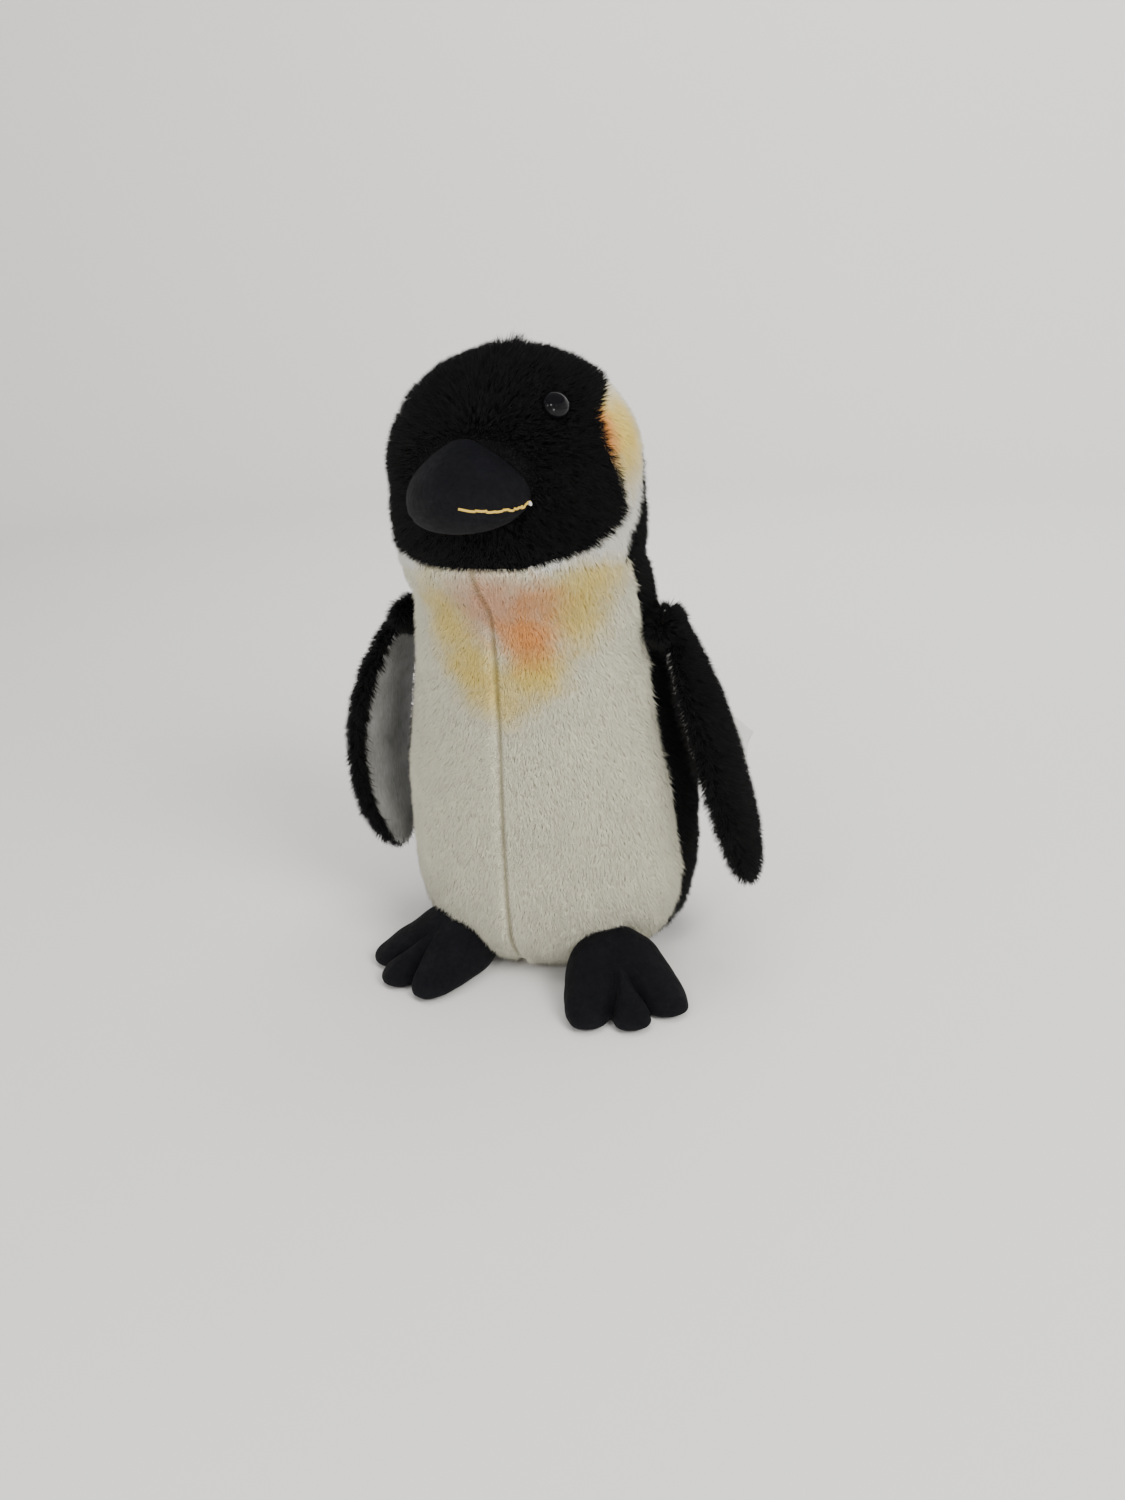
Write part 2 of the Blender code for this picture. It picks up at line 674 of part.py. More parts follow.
def wing_point(side_name, along, angle, inset):
    """Point on the wing: along from root to tip, then round the lens-shaped section.

    Angle 0 is the front edge, a quarter turn is the outer face, half a turn is the back edge.
    """
    side = SIDES[side_name]
    top = -(WING_THICKNESS / 2 - inset) / WING_LENGTH
    low = 1 - inset / WING_LENGTH
    place = top + (low - top) * along
    middle = wing_middle(side_name, place)
    ahead = wing_middle(side_name, place + 0.02) - wing_middle(side_name, place - 0.02)
    ahead /= np.linalg.norm(ahead)
    chord = np.array([side * math.sin(WING_FLARE), -math.cos(WING_FLARE), 0])
    chord -= ahead * chord.dot(ahead)
    chord /= np.linalg.norm(chord)
    outwards = np.cross(chord, ahead) * side
    blunt = WING_ROOT_END if along < 0.5 else WING_TIP_END
    rounding = math.sqrt(max(0.0, 1 - abs(2 * along - 1) ** blunt))
    belly = math.sin(math.pi * (0.95 * along) ** 0.8)
    broad = WING_ROOT_CHORD + (1 - WING_ROOT_CHORD) * belly
    half_chord = (WING_CHORD / 2 * broad - inset) * rounding
    half_thick = (WING_THICKNESS / 2 - inset) * rounding
    return middle + chord * half_chord * math.cos(angle) + outwards * half_thick * math.sin(angle)


def wing_places():
    """Shares of the wing's length, closer together at its round ends."""
    return [(1 - math.cos(math.pi * k / WING_ROWS)) / 2 for k in range(WING_ROWS + 1)]


def build_wing(side_name):
    pivot = add_pivot("wing_pivot_" + side_name, wing_root(SIDES[side_name]))
    turn = SEAM_GAP / WING_THICKNESS
    places = [WING_OPEN + (1 - 2 * WING_OPEN) * p for p in wing_places()]
    spans = {"outer": (0, BLACK_PILE), "inner": (math.pi, GREY_PILE)}
    for name, (first, look) in spans.items():
        angles = [
            first + turn + (math.pi - 2 * turn) * k / WING_COLUMNS for k in range(WING_COLUMNS + 1)
        ]
        outer = grid_of(lambda p, a: wing_point(side_name, p, a, 0), places, angles)
        inner = grid_of(lambda p, a: wing_point(side_name, p, a, SKIN), places, angles)
        add_object(f"wing_{name}_{side_name}", panel(outer, inner), look, pivot)

    angles = full_turn(2 * WING_COLUMNS)
    inset = SKIN + FILL_GAP
    rings = grid_of(lambda p, a: wing_point(side_name, p, a, inset), places, angles)
    add_object("wing_stuffing_" + side_name, lathe(rings), FILLING, pivot)
    return pivot


def build_label(pivot):
    """Care label sewn behind the left wing's back edge, standing out of the seam."""
    edge = wing_point("left", LABEL_PLACE, math.pi, -FILL_GAP)
    above = wing_point("left", LABEL_PLACE - 0.05, math.pi, -FILL_GAP)
    along = (edge - above) / np.linalg.norm(edge - above)
    back = np.array(LABEL_WAY)
    back -= along * back.dot(along)
    back /= np.linalg.norm(back)
    through = np.cross(along, back)
    bm = bmesh.new()
    half = LABEL_WIDTH / 2
    corners = [
        edge + along * a * half + back * b * LABEL_LENGTH + through * t * LABEL_THICKNESS / 2
        for t in (-1, 1)
        for a, b in ((-1, 0), (1, 0), (1, 1), (-1, 1))
    ]
    v = [bm.verts.new(c + back * LABEL_GAP) for c in corners]
    for face in ((0, 1, 2, 3), (7, 6, 5, 4), (0, 4, 5, 1), (1, 5, 6, 2), (2, 6, 7, 3), (3, 7, 4, 0)):
        bm.faces.new([v[i] for i in face])
    add_object("care_label", bm, LABEL_SATIN, pivot)


# ---- feet -----------------------------------------------------------------------------------
def foot_radius(angle):
    """Radius of a foot's outline, `angle` from the way it points."""
    share = smooth(TOE_OUTLINE, 1, abs(math.degrees(angle)))
    return float(share) * FOOT_WIDTH / 2


def foot_frame(side_name):
    """Middle of a foot, the way it points, and the way across it."""
    side = SIDES[side_name]
    place = FOOT_PLACE[side_name] * side
    belly = max((torso_point(place, z) for z in (0.006, 0.009, HEEL_CLEAR)),
                key=lambda p: math.hypot(p[0], p[1]))
    away = np.array([math.sin(place), -math.cos(place), 0])
    middle = np.array([belly[0], belly[1], 0]) + away * (foot_radius(math.pi) + SWING_GAP * 2)
    toe = FOOT_TOE_OUT[side_name] * side
    ahead = np.array([math.sin(toe), -math.cos(toe), 0])
    return middle, ahead, np.array([math.cos(toe), math.sin(toe), 0])


def foot_point(side_name, angle, up, inset, foot_level):
    """Point on the dome over a foot's outline; up goes from 0 at the edge to a quarter turn."""
    middle, ahead, across = foot_frame(side_name)
    reach = (foot_radius(angle) - inset) * math.cos(up)
    height = foot_level + (FOOT_HEIGHT - inset - foot_level) * math.sin(up)
    flat = middle + reach * (ahead * math.cos(angle) + across * math.sin(angle))
    return flat + np.array([0, 0, height])


def build_foot(side_name):
    middle, ahead, across = foot_frame(side_name)
    heel = middle - ahead * foot_radius(math.pi)
    pivot = add_pivot("foot_pivot_" + side_name, heel)
    angles = [-math.pi + 2 * math.pi * k / FOOT_COLUMNS for k in range(FOOT_COLUMNS)]
    ups = [math.radians(82) * k / FOOT_ROWS for k in range(FOOT_ROWS + 1)]
    edge = SMOOTH_SKIN + SEAM_GAP
    outer = grid_of(lambda u, a: foot_point(side_name, a, u, 0, edge), ups, angles)
    inner = grid_of(lambda u, a: foot_point(side_name, a, u, SMOOTH_SKIN, edge), ups, angles)
    rings = outer[::-1] + inner
    add_object("foot_upper_" + side_name, lathe(rings), BLACK_SMOOTH, pivot)

    flat = grid_of(lambda h, a: foot_point(side_name, a, 0, 0.0002, h), (0, SMOOTH_SKIN), angles)
    add_object("foot_sole_" + side_name, lathe(flat), BLACK_SMOOTH, pivot)

    inset = SMOOTH_SKIN + FILL_GAP
    level = SMOOTH_SKIN + FILL_GAP
    fill = grid_of(lambda u, a: foot_point(side_name, a, u, inset, level), ups, angles)
    add_object("foot_stuffing_" + side_name, lathe(fill), FILLING, pivot)


def main():
    clear_scene()
    build_torso()
    build_neck()
    head_pivot = add_pivot("head_pivot", NECK_POINT)
    panels, stuffing = build_head(head_pivot)
    build_eyes(head_pivot, panels, stuffing)
    build_beak(head_pivot)
    for side_name in SIDES:
        pivot = build_wing(side_name)
        if side_name == "left":
            build_label(pivot)
        build_foot(side_name)


main()
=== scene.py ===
import json
import math

import bpy
import numpy as np
from mathutils import Matrix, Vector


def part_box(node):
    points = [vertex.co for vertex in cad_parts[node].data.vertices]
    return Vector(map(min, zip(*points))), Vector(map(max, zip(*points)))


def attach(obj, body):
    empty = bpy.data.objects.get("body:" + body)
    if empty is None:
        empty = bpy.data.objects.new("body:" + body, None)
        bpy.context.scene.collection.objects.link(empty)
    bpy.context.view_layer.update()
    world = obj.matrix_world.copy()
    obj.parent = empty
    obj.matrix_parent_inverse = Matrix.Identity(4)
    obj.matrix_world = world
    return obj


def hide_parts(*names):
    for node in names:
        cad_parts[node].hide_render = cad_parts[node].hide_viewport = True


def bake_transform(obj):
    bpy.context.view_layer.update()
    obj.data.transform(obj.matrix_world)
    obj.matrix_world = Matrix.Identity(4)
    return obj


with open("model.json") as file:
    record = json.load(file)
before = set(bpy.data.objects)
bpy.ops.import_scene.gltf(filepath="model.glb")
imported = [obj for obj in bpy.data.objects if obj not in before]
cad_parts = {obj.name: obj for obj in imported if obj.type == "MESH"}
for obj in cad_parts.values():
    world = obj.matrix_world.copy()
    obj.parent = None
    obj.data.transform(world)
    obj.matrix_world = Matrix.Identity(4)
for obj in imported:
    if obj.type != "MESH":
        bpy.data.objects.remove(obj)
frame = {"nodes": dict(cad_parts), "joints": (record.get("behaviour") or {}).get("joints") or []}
print("frame loaded")
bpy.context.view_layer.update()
joints = {j["name"]: j for j in frame["joints"]}
sides = {"left": 1, "right": -1}


skyLight = {"colour": (0.95, 0.96, 1.0, 1), "strength": 0.22}
cameraPlace = {
    "turn": 22.0,  # degrees round from the front, towards the toy's left
    "away": 0.565,
    "aside": 0.006,
    "height": 0.310,
    "down": 20.6,  # degrees below level
    "roll": 2.6,
    "lens": 29.1,
}


def addCamera(place):
    turn, down, roll = (math.radians(place[k]) for k in ("turn", "down", "roll"))
    right = np.array([math.cos(turn), math.sin(turn), 0])
    level = np.array([-math.sin(turn), math.cos(turn), 0])
    up = np.array([0, 0, math.cos(down)]) + level * math.sin(down)
    ahead = level * math.cos(down) - np.array([0, 0, math.sin(down)])
    across = right * math.cos(roll) - up * math.sin(roll)
    upward = right * math.sin(roll) + up * math.cos(roll)
    where = -level * place["away"] + right * place["aside"]
    where[2] = place["height"]
    camera = bpy.data.objects.new("camera", bpy.data.cameras.new("camera"))
    camera.data.lens = place["lens"]
    camera.data.sensor_width = 36
    camera.data.clip_start = 0.01
    axes = np.eye(4)
    axes[:3, 0], axes[:3, 1], axes[:3, 2], axes[:3, 3] = across, upward, -ahead, where
    camera.matrix_world = Matrix(axes.tolist())
    bpy.context.scene.collection.objects.link(camera)
    bpy.context.scene.camera = camera


def addLamp(name, place, target, size, power, colour, soft=True):
    light = bpy.data.lights.new(name, "AREA")
    light.shape = "RECTANGLE"
    light.size, light.size_y = size
    light.energy = power
    light.color = colour
    lamp = bpy.data.objects.new(name, light)
    way = np.array(target) - np.array(place)
    way = way / np.linalg.norm(way)
    side = np.cross(way, [0, 0.01, 1])
    side /= np.linalg.norm(side)
    axes = np.eye(4)
    axes[:3, 0], axes[:3, 1], axes[:3, 2], axes[:3, 3] = side, np.cross(side, way), -way, place
    lamp.matrix_world = Matrix(axes.tolist())
    lamp.visible_glossy = not soft
    bpy.context.scene.collection.objects.link(lamp)


lampPlaces = (
    # name, place, target, size, power, colour, soft
    ("topLight", (0.0, -0.20, 1.7), (0, 0.1, 0.1), (1.3, 1.3), 15, (1, 0.985, 0.96), True),
    ("keyLight", (1.15, -0.75, 1.1), (0, 0, 0.15), (0.7, 0.7), 27, (1, 0.985, 0.95), True),
    ("wallLight", (0.1, 0.6, 1.7), (0.2, 2.2, 0.7), (1.0, 0.5), 34, (1, 0.99, 0.98), True),
    ("glintOne", (-0.555, -0.852, 0.592), (0.04, -0.05, 0.262), (0.16, 0.16), 1.0, (1, 1, 1), False),
    ("glintTwo", (-0.052, -0.978, 0.746), (0.04, -0.05, 0.262), (0.20, 0.20), 2.0, (1, 1, 1), False),
    ("glintThree", (0.294, -1.056, 0.110), (0.04, -0.05, 0.262), (0.22, 0.16), 2.2, (1, 1, 1), False),
)


stageSize = {"floor": 1.5, "bend": 0.7, "wall": 1.0, "paper": (0.80, 0.79, 0.775)}


def addStage():
    # a round floor whose rim bends up into a wall: radius and height along a quarter circle
    bend = np.linspace(0, math.pi / 2, 20)
    radius = np.concatenate([[0.01], stageSize["floor"] + stageSize["bend"] * np.sin(bend)])
    height = np.concatenate([[0.0], stageSize["bend"] * (1 - np.cos(bend))])
    radius = np.append(radius, radius[-1])
    height = np.append(height, height[-1] + stageSize["wall"])
    turn = fullTurn(96)
    grid = np.stack(
        [
            radius[:, None] * np.cos(turn),
            radius[:, None] * np.sin(turn),
            np.broadcast_to(height[:, None], (len(height), len(turn))),
        ],
        -1,
    )
    points = np.concatenate([grid.reshape(-1, 3), [[0, 0, 0]]])
    faces = gridFaces(*grid.shape[:2], True)
    faces += [[len(turn) * len(height), k, (k + 1) % len(turn)] for k in range(len(turn))]
    stage = meshObject("backdrop", points, faces)
    stage.data.materials.append(plainMaterial("backdropPaper", stageSize["paper"], 0.9)[0])


def readPoints(ob):
    co = np.zeros(len(ob.data.vertices) * 3, np.float32)
    ob.data.vertices.foreach_get("co", co)
    return co.reshape(-1, 3).astype(float)


def meshObject(name, points, faces):
    mesh = bpy.data.meshes.new(name)
    mesh.from_pydata(np.asarray(points, float).reshape(-1, 3), [], faces)
    mesh.validate()
    mesh.polygons.foreach_set("use_smooth", np.full(len(mesh.polygons), True))
    ob = bpy.data.objects.new(name, mesh)
    bpy.context.scene.collection.objects.link(ob)
    return ob


def gridFaces(rows, columns, wrap=False):
    i, j = np.meshgrid(np.arange(rows - 1), np.arange(columns if wrap else columns - 1), indexing="ij")
    k = (j + 1) % columns
    corners = [i * columns + j, i * columns + k, (i + 1) * columns + k, (i + 1) * columns + j]
    return np.stack(corners, -1).reshape(-1, 4).tolist()


def gridObject(name, grid):
    return meshObject(name, grid, gridFaces(*grid.shape[:2]))


def closeWall(ob, thickness):
    # gives a one-sided sheet a wall on its inner side, so that it is a closed body
    wall = ob.modifiers.new("wall", "SOLIDIFY")
    wall.thickness = thickness
    wall.offset = -1


def turnedBody(name, rings):
    # closed body through rings of points, with a fan over the first and the last ring
    rings = np.asarray(rings, float)
    rows, columns = rings.shape[:2]
    points = np.concatenate([rings.reshape(-1, 3), rings[0].mean(0)[None], rings[-1].mean(0)[None]])
    faces = gridFaces(rows, columns, True)
    j = np.arange(columns)
    k = (j + 1) % columns
    first, last = rows * columns, rows * columns + 1
    faces += np.stack([k, j, np.full(columns, first)], -1).tolist()
    base = (rows - 1) * columns
    faces += np.stack([base + j, base + k, np.full(columns, last)], -1).tolist()
    ob = meshObject(name, points, faces)
    faceOut(ob)
    return ob


def faceOut(ob):
    # flips every face if the closed body's signed volume comes out below nothing
    mesh = ob.data
    mesh.calc_loop_triangles()
    tris = np.zeros(len(mesh.loop_triangles) * 3, np.int32)
    mesh.loop_triangles.foreach_get("vertices", tris)
    a, b, c = (readPoints(ob)[tris.reshape(-1, 3)[:, k]] for k in range(3))
    if np.einsum("ij,ij->i", a, np.cross(b, c)).sum() < 0:
        mesh.flip_normals()


def tube(name, path, radius, columns=8):
    # round section carried along a path; the ends are closed
    path = np.asarray(path, float)
    ahead = unit(np.gradient(path, axis=0))
    helper = np.array([0.13, 0.31, 0.94])  # any way that no path follows
    across = unit(np.cross(ahead, helper))
    up = np.cross(ahead, across)
    turn = fullTurn(columns)
    radius = np.broadcast_to(np.asarray(radius, float), (len(path),))[:, None, None]
    ring = across[:, None] * np.cos(turn)[None, :, None] + up[:, None] * np.sin(turn)[None, :, None]
    return turnedBody(name, path[:, None] + ring * radius)


def joined(name, obs):
    with bpy.context.temp_override(active_object=obs[0], selected_editable_objects=obs):
        bpy.ops.object.join()
    obs[0].name = name
    return obs[0]


def unit(ways, least=0.0):
    # the same directions at length one; least keeps a division by zero away
    return ways / np.maximum(np.linalg.norm(ways, axis=-1), least)[..., None]


def turnAway(angle):
    # how far an angle is from straight ahead, up to half a turn
    return np.abs((angle + math.pi) % (2 * math.pi) - math.pi)


def fullTurn(count):
    return np.linspace(0, 2 * math.pi, count, endpoint=False)


def smoothCurve(table, column, at):
    # cubic through the column's values with no overshoot: slopes are harmonic means of the rises
    x = np.array([row[0] for row in table], float)
    y = np.array([row[column] for row in table], float)
    step = np.diff(x)
    rise = np.diff(y) / step
    slope = np.zeros_like(y)
    same = rise[:-1] * rise[1:] > 0
    slope[1:-1] = np.where(same, 2 * rise[:-1] * rise[1:] / np.where(same, rise[:-1] + rise[1:], 1), 0)
    slope[0], slope[-1] = rise[0], rise[-1]
    at = np.clip(np.asarray(at, float), x[0], x[-1])
    i = np.clip(np.searchsorted(x, at, side="right") - 1, 0, len(step) - 1)
    t = (at - x[i]) / step[i]
    low = y[i] * (1 + 2 * t) * (1 - t) ** 2 + y[i + 1] * t * t * (3 - 2 * t)
    return low + step[i] * (slope[i] * t * (1 - t) ** 2 + slope[i + 1] * t * t * (t - 1))


def easeStep(x, low, high):
    t = np.clip((x - low) / (high - low), 0, 1)
    return t * t * (3 - 2 * t)


def waves(points, size, seed):
    # smooth field between about -1 and 1: a sum of sine waves in fixed random directions
    rng = np.random.default_rng(seed)
    total = np.zeros(points.shape[:-1])
    for _ in range(7):
        way = rng.normal(size=3)
        way *= rng.uniform(0.6, 1.5) / np.linalg.norm(way) * 2 * math.pi / size
        total = total + np.sin(points @ way + rng.uniform(0, 2 * math.pi))
    return total / 3.2


frontHigh, backHigh = (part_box(f"{part}_panel_left")[1] for part in ("front", "back"))
hoodLow, hoodHigh = (np.array(v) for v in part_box("hood_left"))
napeHigh = np.array(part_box("nape_panel")[1])
neckAt = np.array(joints["neck_nod"]["pos_m"])

torsoSize = {
    "halfWidth": max(frontHigh[0], backHigh[0]),
    "depth": 0.131,  # front to back at the belly
    "shape": (  # share of the neck's height, width, front depth, back depth, forward shift
        (0.00, 0.56, 0.56, 0.60, 0.15),
        (0.045, 0.75, 0.75, 0.82, 0.18),
        (0.13, 0.93, 0.93, 0.97, 0.13),
        (0.27, 1.00, 0.99, 1.00, 0.00),
        (0.46, 1.00, 0.98, 1.00, 0.00),
        (0.64, 0.93, 0.92, 0.94, 0.10),
        (0.80, 0.85, 0.85, 0.85, 0.36),
        (0.93, 0.79, 0.77, 0.77, 0.80),
        (1.00, 0.76, 0.74, 0.74, 1.00),
    ),
    "sideSeam": ((0.0, 84), (0.15, 84), (0.40, 77), (0.62, 72), (0.85, 78), (1.0, 84)),
}
crownRise = 0.049  # from the head's widest level to its top
headSize = {
    "lean": 0.03,  # the crown leans a little to the right-hand side
    "halfWidth": max(hoodHigh[0], napeHigh[0]),
    "halfDepth": (napeHigh[1] - hoodLow[1]) / 2,
    "middle": np.array([0, (napeHigh[1] + hoodLow[1]) / 2, hoodHigh[2] - crownRise]),
    "rise": crownRise,
    "drop": 0.060,
    "rim": math.radians(16),
    "cheekFront": (  # share of the way up, degrees round from the front
        (0.0, 24), (0.05, 46), (0.10, 62), (0.20, 79), (0.28, 76),
        (0.38, 70), (0.46, 67), (0.55, 71), (0.63, 90), (0.72, 120), (1.0, 120),
    ),
    "cheekBack": (
        (0.0, 80), (0.10, 85), (0.20, 101), (0.30, 116), (0.50, 130),
        (0.62, 136), (0.72, 138), (1.0, 138),
    ),
    "crownSeam": math.radians(129),
    "cheekTop": 0.72,
}
cut = {
    "bottom": 0.0035,
    "torsoTop": 0.150,  # above it the skin turns with the neck
    "neckLow": 0.178,
    "throat": 0.013,  # above the neck point, the skin turns over to the head in this height
    "skinInset": 0.0030,  # the cloth under the pile, below the outer size
    "headInset": 0.0037,
    "neckTwist": 0.12,  # how far the neck's front seam leads at the top
    "floor": 0.0003,  # how close pile comes to the ground
    "clothThickness": 0.0010,
    "pileSunk": 0.0002,  # the pile starts this far outside the cloth
    "neckInRim": 0.0012,  # the neck ends this far inside the hood
    "neckFull": 0.0015,  # how far the neck bulges at its sides and back
}


def torsoSurface(angle, height, inset):
    # an oval at each height: width, depth and its middle come from the shape table
    share = height / neckAt[2]
    shape = torsoSize["shape"]
    wide = smoothCurve(shape, 1, share) * torsoSize["halfWidth"] - inset
    front = smoothCurve(shape, 2, share) * torsoSize["depth"] / 2 - inset
    back = smoothCurve(shape, 3, share) * torsoSize["depth"] / 2 - inset
    deep = np.where(np.cos(angle) > 0, front, back)
    middle = smoothCurve(shape, 4, share) * neckAt[1]
    return np.stack([wide * np.sin(angle), middle - deep * np.cos(angle), height + 0 * angle], -1)


def headSurface(angle, up, inset):
    # an ellipsoid above its widest level, nearly upright sides below it
    rise = np.sin(up)
    spread = np.where(up >= 0, np.cos(up), np.sqrt(np.clip(1 - rise**10, 0, 1)))
    reach = np.where(up >= 0, headSize["rise"], headSize["drop"]) - inset
    lean = headSize["lean"] * reach * np.clip(rise, 0, 1) ** 4
    return headSize["middle"] + np.stack(
        [
            (headSize["halfWidth"] - inset) * spread * np.sin(angle) - lean,
            -(headSize["halfDepth"] - inset) * spread * np.cos(angle),
            reach * rise,
        ],
        -1,
    )


def rimLevel(angle, inset):
    # halves the range until the surface meets the cone that leaves the neck point at the rim's angle
    under = np.full(np.shape(angle), math.radians(-80.0))
    over = np.zeros(np.shape(angle))
    for _ in range(30):
        middle = (under + over) / 2
        way = headSurface(angle, middle, inset) - neckAt
        above = way[..., 2] > math.tan(headSize["rim"]) * np.hypot(way[..., 0], way[..., 1])
        under, over = np.where(above, under, middle), np.where(above, middle, over)
    return over


rimTables = {}


def rimAt(angle, inset):
    # the rim is the same left and right, so it is read from a table over half a turn
    least = float(np.min(inset))
    if least not in rimTables:
        turn = np.linspace(0, math.pi, 181)
        rimTables[least] = (turn, rimLevel(turn, least))
    return np.interp(turnAway(angle), *rimTables[least])


def headAt(angle, share, inset):
    lowest = rimAt(angle, inset)
    return headSurface(angle, lowest + (math.pi / 2 - lowest) * share, inset)


def neckSurface(angle, share, inset):
    # a cubic from the torso's collar to just inside the hood's rim, level with both at its ends
    base = np.full(np.shape(angle), cut["neckLow"])
    first = torsoSurface(angle, base, inset)
    slope = (torsoSurface(angle, base, inset) - torsoSurface(angle, base - 0.01, inset)) / 0.01
    turned = angle + cut["neckTwist"] * np.cos(angle / 2) ** 2
    last = headAt(turned, 0 * angle, inset + cut["neckInRim"])
    tall = (last[..., 2] - first[..., 2])[..., None]
    s = np.asarray(share)[..., None]
    upright = np.array([0, 0, 1.0])
    sideways = easeStep(turnAway(angle), 1.2, 1.9)
    full = cut["neckFull"] * (4 * share * (1 - share)) * sideways
    outward = np.stack([np.sin(angle), -np.cos(angle), 0 * angle], -1)
    return outward * full[..., None] + (
        first * (1 + 2 * s) * (1 - s) ** 2
        + slope * tall * s * (1 - s) ** 2
        + last * s * s * (3 - 2 * s)
        + upright * tall * s * s * (s - 1)
    )


def bodySurface(angle, level, inset):
    # torso below the collar, neck above it; level is a height in metres up to the hood's rim
    angle, level = np.broadcast_arrays(np.asarray(angle, float), np.asarray(level, float))
    torso = torsoSurface(angle, np.minimum(level, cut["neckLow"]), inset)
    if level.max() <= cut["neckLow"]:
        return torso
    top = neckSurface(angle, np.ones(angle.shape), inset)[..., 2]
    share = np.clip((level - cut["neckLow"]) / (top - cut["neckLow"]), 0, 1)
    neck = neckSurface(angle, share, inset)
    return np.where((level > cut["neckLow"])[..., None], neck, torso)


def sideSeam(level):
    return np.radians(smoothCurve(torsoSize["sideSeam"], 1, level / neckAt[2]))


def cheekSeam(share, which):
    return np.radians(smoothCurve(headSize[which], 1, share))


# A patch takes u across and v up, both from 0 to 1, and gives points on the surface.


def bodyPatch(side, part, bottom, top):
    # part is front or back: between the middle seam and the side seam, or on to the back's middle

    def patch(u, v, inset=0.0):
        level = bottom + (top - bottom) * v
        seam = sideSeam(level)
        first, last = (0 * seam, seam) if part == "front" else (seam, 0 * seam + math.pi)
        angle = first + (last - first) * u
        away = np.minimum(angle, math.pi - angle) * torsoSize["depth"] / 2
        groove = frontSeam["groove"] * np.exp(-((away / frontSeam["grooveWidth"]) ** 2))
        return bodySurface(side * angle, level, inset + groove)

    return patch


def neckTopPatch(side, part):
    # the last stretch of neck, from the pivot's height to the rim

    def patch(u, v, inset=0.0):
        seam = sideSeam(np.full(np.shape(v), neckAt[2]))
        first, last = (0 * seam, seam) if part == "front" else (seam, 0 * seam + math.pi)
        angle = side * (first + (last - first) * u)
        top = neckSurface(angle, 1 + 0 * angle, inset)[..., 2]
        return bodySurface(angle, neckAt[2] + (top - neckAt[2]) * v, inset)

    return patch


def headPatch(side, part):
    def patch(u, v, inset=0.0):
        top = headSize["cheekTop"]
        share = v * top if part == "cheek" else v
        over = easeStep(share, top - 0.03, top)
        middle = headSize["crownSeam"]
        front = cheekSeam(share, "cheekFront") * (1 - over) + middle * over
        back = cheekSeam(share, "cheekBack") * (1 - over) + middle * over
        if part == "hood":
            first, last = 0 * front, front
        elif part == "cheek":
            first, last = front, back
        else:
            first, last = back, 0 * back + math.pi
        return headAt(side * (first + (last - first) * u), np.minimum(share, 0.999), inset)

    return patch


def patchNormal(patch, u, v, inset=0.0):
    # cross product of the two directions along the patch, turned to face away from the axis
    e = 1e-3
    across = patch(np.clip(u + e, 0, 1), v, inset) - patch(np.clip(u - e, 0, 1), v, inset)
    along = patch(u, np.clip(v + e, 0, 1), inset) - patch(u, np.clip(v - e, 0, 1), inset)
    normal = np.cross(across, along)
    area = np.linalg.norm(normal, axis=-1)
    return normal / np.maximum(area, 1e-15)[..., None], area


def plainMaterial(name, colour, roughness):
    # gives the material, its nodes and its shader
    material = bpy.data.materials.new(name)
    material.use_nodes = True
    shader = material.node_tree.nodes["Principled BSDF"]
    shader.inputs["Base Color"].default_value = (*colour, 1)
    shader.inputs["Roughness"].default_value = roughness
    return material, Nodes(material.node_tree), shader


class Nodes:
    # short way to add and join nodes in a tree

    def __init__(self, tree):
        self.tree = tree

    def add(self, kind, **values):
        node = self.tree.nodes.new(kind)
        inputs = values.pop("inputs", {})
        for key, value in values.items():
            setattr(node, key, value)
        for key, value in inputs.items():
            self.put(node, key, value)
        return node

    def put(self, node, key, value):
        # another node's output is joined on, any other value is set
        if hasattr(value, "is_output"):
            self.tree.links.new(value, node.inputs[key])
        else:
            node.inputs[key].default_value = value

    def vector(self, operation, a, b=(0, 0, 0)):
        return self.add("ShaderNodeVectorMath", operation=operation, inputs={0: a, 1: b})

    def math(self, operation, a, b=0.0, clamp=False):
        inputs = {0: a, 1: b}
        return self.add("ShaderNodeMath", operation=operation, use_clamp=clamp, inputs=inputs).outputs[0]

    def mix(self, factor, a, b, blend="MIX"):
        node = self.add("ShaderNodeMix", data_type="RGBA", blend_type=blend)
        for key, value in ((0, factor), (6, a), (7, b)):
            self.put(node, key, value)
        return node.outputs[2]

    def noise(self, vector, scale, detail=2.0, roughness=0.5):
        inputs = {"Vector": vector, "Scale": scale, "Detail": detail, "Roughness": roughness}
        return self.add("ShaderNodeTexNoise", inputs=inputs).outputs["Fac"]

    def range(self, value, low, high, first=0.0, last=1.0, smooth=False):
        inputs = {"Value": value, "From Min": low, "From Max": high, "To Min": first, "To Max": last}
        kind = "SMOOTHSTEP" if smooth else "LINEAR"
        return self.add("ShaderNodeMapRange", interpolation_type=kind, inputs=inputs).outputs[0]


def newGroup(name, takes, gives):
    group = bpy.data.node_groups.new(name, "ShaderNodeTree")
    for title, kind, value in takes:
        socket = group.interface.new_socket(name=title, in_out="INPUT", socket_type=kind)
        if value is not None:
            socket.default_value = value
    for title, kind in gives:
        group.interface.new_socket(name=title, in_out="OUTPUT", socket_type=kind)
    n = Nodes(group)
    return group, n, n.add("NodeGroupInput"), n.add("NodeGroupOutput")


